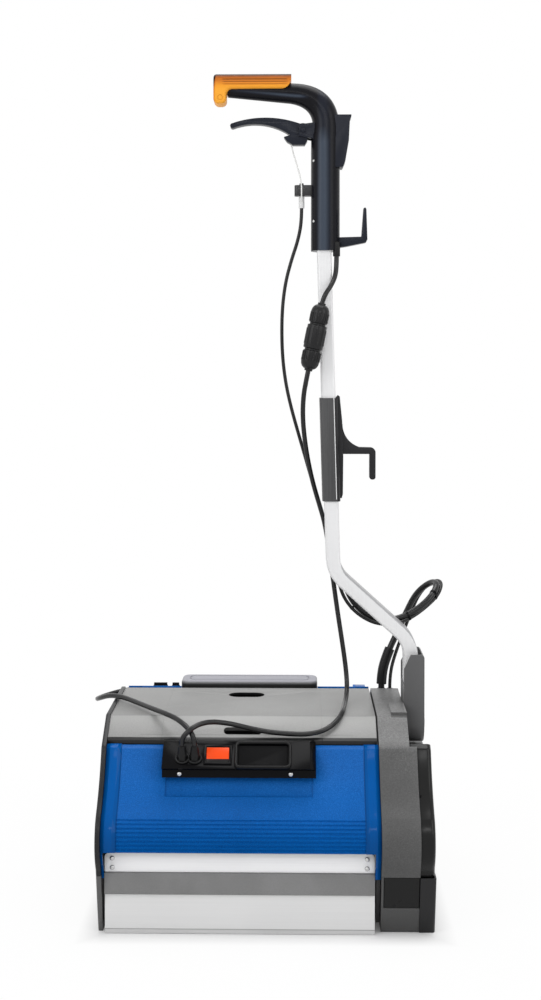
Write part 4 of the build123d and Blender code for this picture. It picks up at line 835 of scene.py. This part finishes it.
# Repeated small pieces
def repeater(name):
    """Node tree that puts a copy of one piece on every point, turned by the point's own angles."""
    tree = bpy.data.node_groups.new(name, "GeometryNodeTree")
    tree.is_modifier = True
    kinds = {"Geometry": "Geometry", "Piece": "Object", "Size": "Float", "Finish": "Material"}
    for title, kind in kinds.items():
        tree.interface.new_socket(title, in_out="INPUT", socket_type="NodeSocket" + kind)
    tree.interface.new_socket("Geometry", in_out="OUTPUT", socket_type="NodeSocketGeometry")
    add = tree.nodes.new
    given, made = add("NodeGroupInput"), add("NodeGroupOutput")
    info = add("GeometryNodeObjectInfo")
    to_points = add("GeometryNodeMeshToPoints")
    angles = add("GeometryNodeInputNamedAttribute")
    angles.data_type = "FLOAT_VECTOR"
    angles.inputs["Name"].default_value = "turn"
    turned = add("FunctionNodeEulerToRotation")
    placed = add("GeometryNodeInstanceOnPoints")
    size = add("ShaderNodeCombineXYZ")
    real = add("GeometryNodeRealizeInstances")
    finish = add("GeometryNodeSetMaterial")
    for source, output, target, socket in (
            (given, "Geometry", to_points, "Mesh"), (given, "Piece", info, "Object"),
            (to_points, "Points", placed, "Points"), (info, "Geometry", placed, "Instance"),
            (angles, "Attribute", turned, "Euler"), (turned, "Rotation", placed, "Rotation"),
            (given, "Size", size, "X"), (given, "Size", size, "Y"), (given, "Size", size, "Z"),
            (size, "Vector", placed, "Scale"), (placed, "Instances", real, "Geometry"),
            (real, "Geometry", finish, "Geometry"), (given, "Finish", finish, "Material"),
            (finish, "Geometry", made, "Geometry")):
        tree.links.new(source.outputs[output], target.inputs[socket])
    return tree


copies_tree = repeater("copies_on_points")


def aim(up):
    """Angles that turn a piece's +Z to a direction."""
    return Vector(up).to_track_quat("Z", "Y").to_euler()


def copies(name, piece, places, material, size=1.0):
    """One mesh with the piece at each (position in mm, angles), from the node tree."""
    mesh = bpy.data.meshes.new(name)
    mesh.from_pydata([tuple(c * MM for c in at) for at, _ in places], [], [])
    turn = mesh.attributes.new("turn", "FLOAT_VECTOR", "POINT")
    for i, (_, angles) in enumerate(places):
        turn.data[i].vector = angles
    obj = new_object(name, mesh)
    maker = obj.modifiers.new("copies", "NODES")
    maker.node_group = copies_tree
    sockets = {s.name: s.identifier for s in copies_tree.interface.items_tree if s.in_out == "INPUT"}
    maker[sockets["Piece"]] = piece
    maker[sockets["Size"]] = size
    maker[sockets["Finish"]] = material
    return finished_mesh(obj)


def pan_screw():
    """Pan-head screw, radius 3.2 mm, with a cross recess; its seat is at z = 0."""
    profile = [(0, -0.6), (3.1, -0.6), (3.2, 0.5), (3.0, 1.2), (2.3, 1.9), (1.2, 2.25), (0, 2.35)]
    head = solid_of_turn("pan_head", profile)
    work = bmesh.new()
    for size in ((3.6, 0.85, 2.4), (0.85, 3.6, 2.4)):
        block(work, size, (0, 0, 2.4))
    carve(head, made_object("cross", work), overlapping=True)
    smooth(head, 35)
    return head


GUARD_OUT, BOX_FACE, BOX_SCREW_Z = 171.3, -153.0, 205.0
COLUMN_SIZE, CAP_SIZE = 0.62, 0.8
screw = pan_screw()
guard_places = [((x, side * GUARD_OUT, z), aim((0, side, 0)))
                for side in (-1, 1) for x in (-200.0, 131.0) for z in (100.0, 88.0)]
box_places = [((x, BOX_FACE, BOX_SCREW_Z), aim((0, -1, 0))) for x in (-114.0, 32.0)]
screws = copies("cover_screw_set", screw, guard_places + box_places, finishes["steel"])
settle(screws, "chassis")
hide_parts("cover_screws")
column_places = [((63.4, -11.6, z), aim((-0.82, -0.57, 0))) for z in (1027.0, 942.5)]
column_screws = copies("column_screw_set", screw, column_places, finishes["steel"], COLUMN_SIZE)
settle(column_screws, "handle")
bpy.context.view_layer.update()
cap_sight, cap_ahead = Vector((0.1995, -0.5, 0.179)), Vector((0, 1, 0))
_, cap_seat, cap_facing, _ = pieces["drive_outer_cover"].ray_cast(cap_sight, cap_ahead)
cap_place = (cap_seat / MM, aim(cap_facing))
cap_screw = copies("drive_cap_screw", screw, [cap_place], finishes["black_plastic"], CAP_SIZE)
settle(cap_screw, "chassis")
drop(screw)

HAIRS, HAIR_SIDES = 7, (0, 2.09, 4.19)
HAIR_FOOT, HAIR_TOP, HAIR_UNEVEN = -0.6, 34.2, 0.4
HAIR_ROOT, HAIR_TIP = 0.3, 0.26
HAIR_TURN, HAIR_SPACE, HAIR_LEAN = 2.4, 0.55, 0.9


def hair_end(x, y, radius, height):
    corners = [(x + radius * math.cos(t), y + radius * math.sin(t)) for t in HAIR_SIDES]
    return [(cx * MM, cy * MM, height * MM) for cx, cy in corners]


def tuft():
    """A small bunch of nylon hairs, rooted just below z = 0."""
    work = bmesh.new()
    for i in range(HAIRS):
        angle, reach = i * HAIR_TURN, HAIR_SPACE * math.sqrt(i)
        x, y = reach * math.cos(angle), reach * math.sin(angle)
        root = hair_end(x, y, HAIR_ROOT, HAIR_FOOT)
        x += HAIR_LEAN * math.sin(i * 1.7)
        y += HAIR_LEAN * math.cos(i * 2.3)
        tip = hair_end(x, y, HAIR_TIP, HAIR_TOP + HAIR_UNEVEN * math.sin(i * 3.1))
        skin(work, [root, tip], low_cap=False)
    return made_object("tuft", work)


ROLLER_X0, ROLLER_X1, ROLLER_Z, ROLLER_SLEEVE, ROLLER_BORE = -204.5, 139.0, 59.6, 24.0, 20.2
ROWS, TUFTS, TUFT_START, TUFT_PITCH = 12, 82, 3.0, 4.12
LANES = ((-0.045, 0.0), (0.045, 2.1))


def brush(name, y, node, body):
    """Roller brush: twelve rows of tufts in two lanes on a plain sleeve."""
    bunch = tuft()
    places = []
    for row in turns(ROWS):
        for lane, sway in LANES:
            up = (0.0, -math.sin(row + lane), math.cos(row + lane))
            turn = aim(up)
            for i in range(TUFTS):
                x = ROLLER_X0 + TUFT_START + sway + i * TUFT_PITCH
                places.append(((x, y + ROLLER_SLEEVE * up[1], ROLLER_Z + ROLLER_SLEEVE * up[2]), turn))
    bristles = copies(name, bunch, places, finishes["bristle_nylon"])
    drop(bunch)
    length = ROLLER_X1 - ROLLER_X0
    profile = [(ROLLER_BORE, 0), (ROLLER_SLEEVE, 0), (ROLLER_SLEEVE, length), (ROLLER_BORE, length)]
    sleeve = solid_of_turn(name + "_sleeve", profile, 40)
    place = Matrix.Translation((ROLLER_X0 * MM, y * MM, ROLLER_Z * MM))
    sleeve.data.transform(place @ Matrix.Rotation(math.pi / 2, 4, "Y"))
    work = bmesh.new()
    work.from_mesh(bristles.data)
    work.from_mesh(sleeve.data)
    work.to_mesh(bristles.data)
    work.free()
    drop(sleeve)
    settle(bristles, body, finishes["bristle_nylon"])
    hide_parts(node)


brush("front_brush_nylon", -97.0, "front_brush_bristles", "front_brush")
brush("rear_brush_nylon", 97.0, "rear_brush_bristles", "rear_brush")

COUPLING_TOP, COUPLING_LOW = Vector((74.9, -31.0, 827.0)), Vector((55.6, -31.0, 733.0))
NUT_AT = 20.5
coupling_axis = (COUPLING_LOW - COUPLING_TOP).normalized()
coupling_turn = coupling_axis.to_track_quat("Z", "Y").to_matrix()
coupling_length = (COUPLING_LOW - COUPLING_TOP).length


def coupling_ribs(name, size, radius, count, centres):
    """Ribs set round the inline connector at places along its axis (mm)."""
    places = []
    for centre in centres:
        for angle in turns(count):
            spoke = Matrix.Rotation(angle, 3, "Z")
            at = COUPLING_TOP + coupling_turn @ (spoke @ Vector((radius, 0, centre)))
            places.append((at, (coupling_turn @ spoke).to_euler()))
    rib = bar("rib", size)
    settle(copies(name, rib, places, coupling_shell), "handle")
    drop(rib)


coupling_ribs("coupling_nut_ribs", (1.5, 1.7, 13.0), 12.5, 22, (NUT_AT, coupling_length - NUT_AT))
coupling_ribs("coupling_body_ribs", (1.2, 1.6, 22.0), 13.5, 16, (coupling_length / 2,))
dome_profile = [(0, 2.4), (4.4, 2.4), (7.6, 3.4), (10.4, 5.8), (12.2, 9.4), (12.9, 13.6), (12.9, 15), (0, 15)]
nut_dome = solid_of_turn("nut_dome", dome_profile, 36)
smooth(nut_dome, 45)
dome_places = [(COUPLING_TOP, aim(coupling_axis)), (COUPLING_LOW, aim(-coupling_axis))]
settle(copies("coupling_nut_domes", nut_dome, dome_places, coupling_shell), "handle")
drop(nut_dome)


# Small single pieces
def rear_rim(name, x0, x1, foot):
    """Blue shoulder of the rear cover that stands up behind the lid."""
    section = ((118.5, 236.0), (118.5, 258.0), (118.9, 258.6), (119.7, 258.6), (120.1, 258.0), (foot, 236.0))
    rim = lofted(name, [[(x * MM, y * MM, z * MM) for y, z in section] for x in (x0, x1)])
    settle(rim, "chassis", finishes["blue_shell"])


rims = ((-213.0, -178.5, 124.0), (-178.5, -133.4, 120.1), (71.4, 148.0, 124.0))
for index, (rim_x0, rim_x1, rim_foot) in enumerate(rims):
    rear_rim("rear_cover_rim_%d" % index, rim_x0, rim_x1, rim_foot)

FACE_Y, FACE_Z, FACE_COS, FACE_SIN = -144.0, 227.5, 0.7831, 0.6219


def at_face(x, v, d):
    """Point on the control box: x along the box, v up its sloping face, d outwards (mm, to metres)."""
    return Vector((x, FACE_Y + FACE_COS * v - FACE_SIN * d, FACE_Z + FACE_SIN * v + FACE_COS * d)) * MM


def rounded_loop(x0, x1, v0, v1, r, d, steps=8):
    corners = ((x1 - r, v1 - r, 0), (x0 + r, v1 - r, 90), (x0 + r, v0 + r, 180), (x1 - r, v0 + r, 270))
    outline = [at for x, v, start in corners for at in arc(x, v, r, start, start + 90, steps)]
    return [at_face(x, v, d) for x, v in outline]


RIM_RADIUS, COLLAR_RADIUS, COLLAR_STEPS = 2.3, 1.7, 28
COLLAR_WIDE, COLLAR_HIGH, COLLAR_V, COLLAR_OUT = 8.2, 7.4, -6.0, 1.2
rim_loop = rounded_loop(x0=-40.0, x1=31.0, v0=-20.0, v1=18.4, r=6.0, d=1.6)
socket_rim = ring_mesh("socket_rim", rim_loop, RIM_RADIUS)
settle(socket_rim, "chassis", rim_shell)
for index, gland_x in enumerate((-110.5, -94.0)):
    oval = [at_face(gland_x + COLLAR_WIDE * math.cos(t), COLLAR_V + COLLAR_HIGH * math.sin(t), COLLAR_OUT)
            for t in turns(COLLAR_STEPS)]
    collar = ring_mesh("gland_collar_%d" % index, oval, COLLAR_RADIUS)
    settle(collar, "chassis", finishes["soft_rubber"])

WIRE_RADIUS, WIRE_SIDES = 1.0, 10
wire_route = ((46.5, -2, 968), (46.5, -6.6, 975), (46.5, -7.9, 980), (46.3, -7.9, 994), (44.4, -6.4, 1006),
              (39.5, -3.2, 1024), (34.6, -0.8, 1040), (31.8, 0, 1051.5))
pull_wire = tube_mesh("pull_wire", [Vector(at) * MM for at in wire_route], WIRE_RADIUS, WIRE_SIDES)
pull_wire.data.materials.append(white_wire)
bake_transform(pull_wire)

TIE_WIDTH, TIE_THICK = 3.2, 0.6


def tie_band(name, place):
    """Strap round the motor lead and the pull cable where they run side by side."""
    cable = paths["pull_cable"]
    i = nearest(slack, Vector(place) * MM)
    at = slack[i]
    along = (slack[i + 1] - slack[i - 1]).normalized()
    beside = cable[nearest(cable, at)]
    across = beside - along * (beside - at).dot(along) - at
    apart = across.length
    across.normalize()
    up = along.cross(across)
    outline = arc(0, 0, (MOTOR + TIE_THICK) * MM, 90, 270, 9)
    outline += arc(apart, 0, (CABLE + TIE_THICK) * MM, -90, 90, 9)
    shift = along * TIE_WIDTH / 2 * MM
    tie = lofted(name, [[at + across * u + up * w + shift * side for u, w in outline] for side in (-1, 1)])
    smooth(tie, 40)
    tie.data.materials.append(finishes["black_plastic"])
    bend_slack(tie, [handle_share(at)] * len(tie.data.vertices))


for index, place in enumerate(((239, 49, 411), (200, 36, 380), (126, 43, 393))):
    tie_band("cord_tie_%d" % index, place)

SLEEVE_RADIUS, SLEEVE_SIDES = 7.4, 18
SLEEVE_FOOT, SLEEVE_HEAD, SLEEVE_BEHIND = 0.2655, 0.322, 0.085
sleeve_path = [p for p in slack if SLEEVE_FOOT < p.z < SLEEVE_HEAD and p.y > SLEEVE_BEHIND]
lead_sleeve = tube_mesh("motor_lead_sleeve", sleeve_path, SLEEVE_RADIUS, SLEEVE_SIDES)
lead_sleeve.data.materials.append(finishes["soft_rubber"])
bend_slack(lead_sleeve, ring_shares(sleeve_path, SLEEVE_SIDES))

# painted light: a thin strip in the tube's white finish fills the gap between the sleeve and its hook,
# standing in for the light seen through that gap
GAP_X, GAP_HALF, GAP_LOW, GAP_TOP, GAP_Y0, GAP_Y1 = 93.7, 0.5, 553.0, 696.0, -19.0, -18.0
low_x, top_x = (GAP_X - HOOK_LEAN * (z - HOOK_MIDDLE / MM) for z in (GAP_LOW, GAP_TOP))
gap_outline = [(low_x - GAP_HALF, GAP_LOW), (low_x + GAP_HALF, GAP_LOW),
               (top_x + GAP_HALF, GAP_TOP), (top_x - GAP_HALF, GAP_TOP)]
gap_strip = prism("sleeve_gap_strip", gap_outline, GAP_Y0, GAP_Y1)
settle(gap_strip, "handle", finishes["tube_metal"])


# Stage, light and camera
def seen_directly(tree):
    """1 for rays from the camera, off glossy faces and through clear ones; 0 for the light that fills."""
    rays = tree.nodes.new("ShaderNodeLightPath")
    seen = rays.outputs["Is Camera Ray"]
    for kind in ("Is Glossy Ray", "Is Transmission Ray"):
        either = tree.nodes.new("ShaderNodeMath")
        either.operation = "MAXIMUM"
        tree.links.new(seen, either.inputs[0])
        tree.links.new(rays.outputs[kind], either.inputs[1])
        seen = either.outputs[0]
    return seen


FLOOR_HALF, BODY_HALF_X, BODY_HALF_Y = 6.0, 0.215, 0.172
WHITE = (1, 1, 1, 1)


def floor():
    """Pale floor that turns plain white away from the machine's own shadow."""
    mesh = bpy.data.meshes.new("studio_floor")
    corners = [(x * FLOOR_HALF, y * FLOOR_HALF, 0) for x, y in ((-1, -1), (1, -1), (1, 1), (-1, 1))]
    mesh.from_pydata(corners, [], [(0, 1, 2, 3)])
    obj = new_object("studio_floor", mesh)
    mat = Finish("studio_white", 0.9, specular=0.1)
    mat.tint(mat.noise(2.0), (0.0, (0.83, 0.83, 0.83)), (1.0, (0.85, 0.85, 0.85)))
    glow = mat.node("ShaderNodeEmission", {"Color": WHITE, "Strength": 1.0})
    away = mat.larger(mat.minus(mat.size(mat.x), BODY_HALF_X), mat.minus(mat.size(mat.y), BODY_HALF_Y))
    far = mat.plus(mat.span(away, -0.01, 0.032, 0.06, 0.93), mat.span(away, 0.032, 0.4, 0.0, 0.07))
    share = mat.times(seen_directly(mat.tree), far)
    mix = mat.node("ShaderNodeMixShader", {"Fac": share, 1: mat.shader.outputs[0], 2: glow.outputs[0]})
    mat.give(mat.tree.nodes["Material Output"].inputs["Surface"], mix.outputs[0])
    mesh.materials.append(mat.material)


def studio():
    """World that fills the scene softly and looks plain white where it is seen."""
    world = bpy.data.worlds.new("studio")
    scene.world = world
    world.use_nodes = True
    tree = world.node_tree
    pick = tree.nodes.new("ShaderNodeMixShader")
    tree.links.new(seen_directly(tree), pick.inputs["Fac"])
    fill, plain = tree.nodes["Background"], tree.nodes.new("ShaderNodeBackground")
    for index, (background, strength) in enumerate(((fill, 0.5), (plain, 1.0))):
        background.inputs["Color"].default_value = WHITE
        background.inputs["Strength"].default_value = strength
        tree.links.new(background.outputs[0], pick.inputs[index + 1])
    tree.links.new(pick.outputs[0], tree.nodes["World Output"].inputs["Surface"])


def lamp(name, place, aim_at, size, power):
    light = bpy.data.lights.new(name, "AREA")
    light.shape = "RECTANGLE"
    light.size, light.size_y = size
    light.energy = power
    obj = new_object(name, light)
    obj.location = place
    obj.rotation_euler = (Vector(aim_at) - Vector(place)).to_track_quat("-Z", "Y").to_euler()


floor()
studio()
lamp("left_softbox", (-1.9, -1.7, 1.6), (0, 0, 0.4), (1.2, 1.8), 20)
lamp("right_softbox", (1.9, -1.5, 1.5), (0, 0, 0.4), (1.0, 1.8), 14)
lamp("front_softbox", (0.1, -2.9, 1.9), (0, 0, 0.2), (1.5, 0.3), 9)
lamp("top_softbox", (0.1, 0.2, 2.6), (0, 0, 0.2), (1.8, 1.4), 34)

PITCH, YAW, SENSOR, FOCAL = 0.01837, -0.01744, 36.0, 1.37306
camera = bpy.data.cameras.new("photo_camera")
camera.sensor_width = SENSOR
camera.lens = SENSOR * FOCAL
camera.shift_y = -0.1
camera.clip_end = 50
eye = new_object("photo_camera", camera)
eye.location = (0.03657, -1.9398, 0.72757)
ahead = Vector((math.sin(YAW) * math.cos(PITCH), math.cos(YAW) * math.cos(PITCH), -math.sin(PITCH)))
eye.rotation_euler = ahead.to_track_quat("-Z", "Y").to_euler()
scene.camera = eye
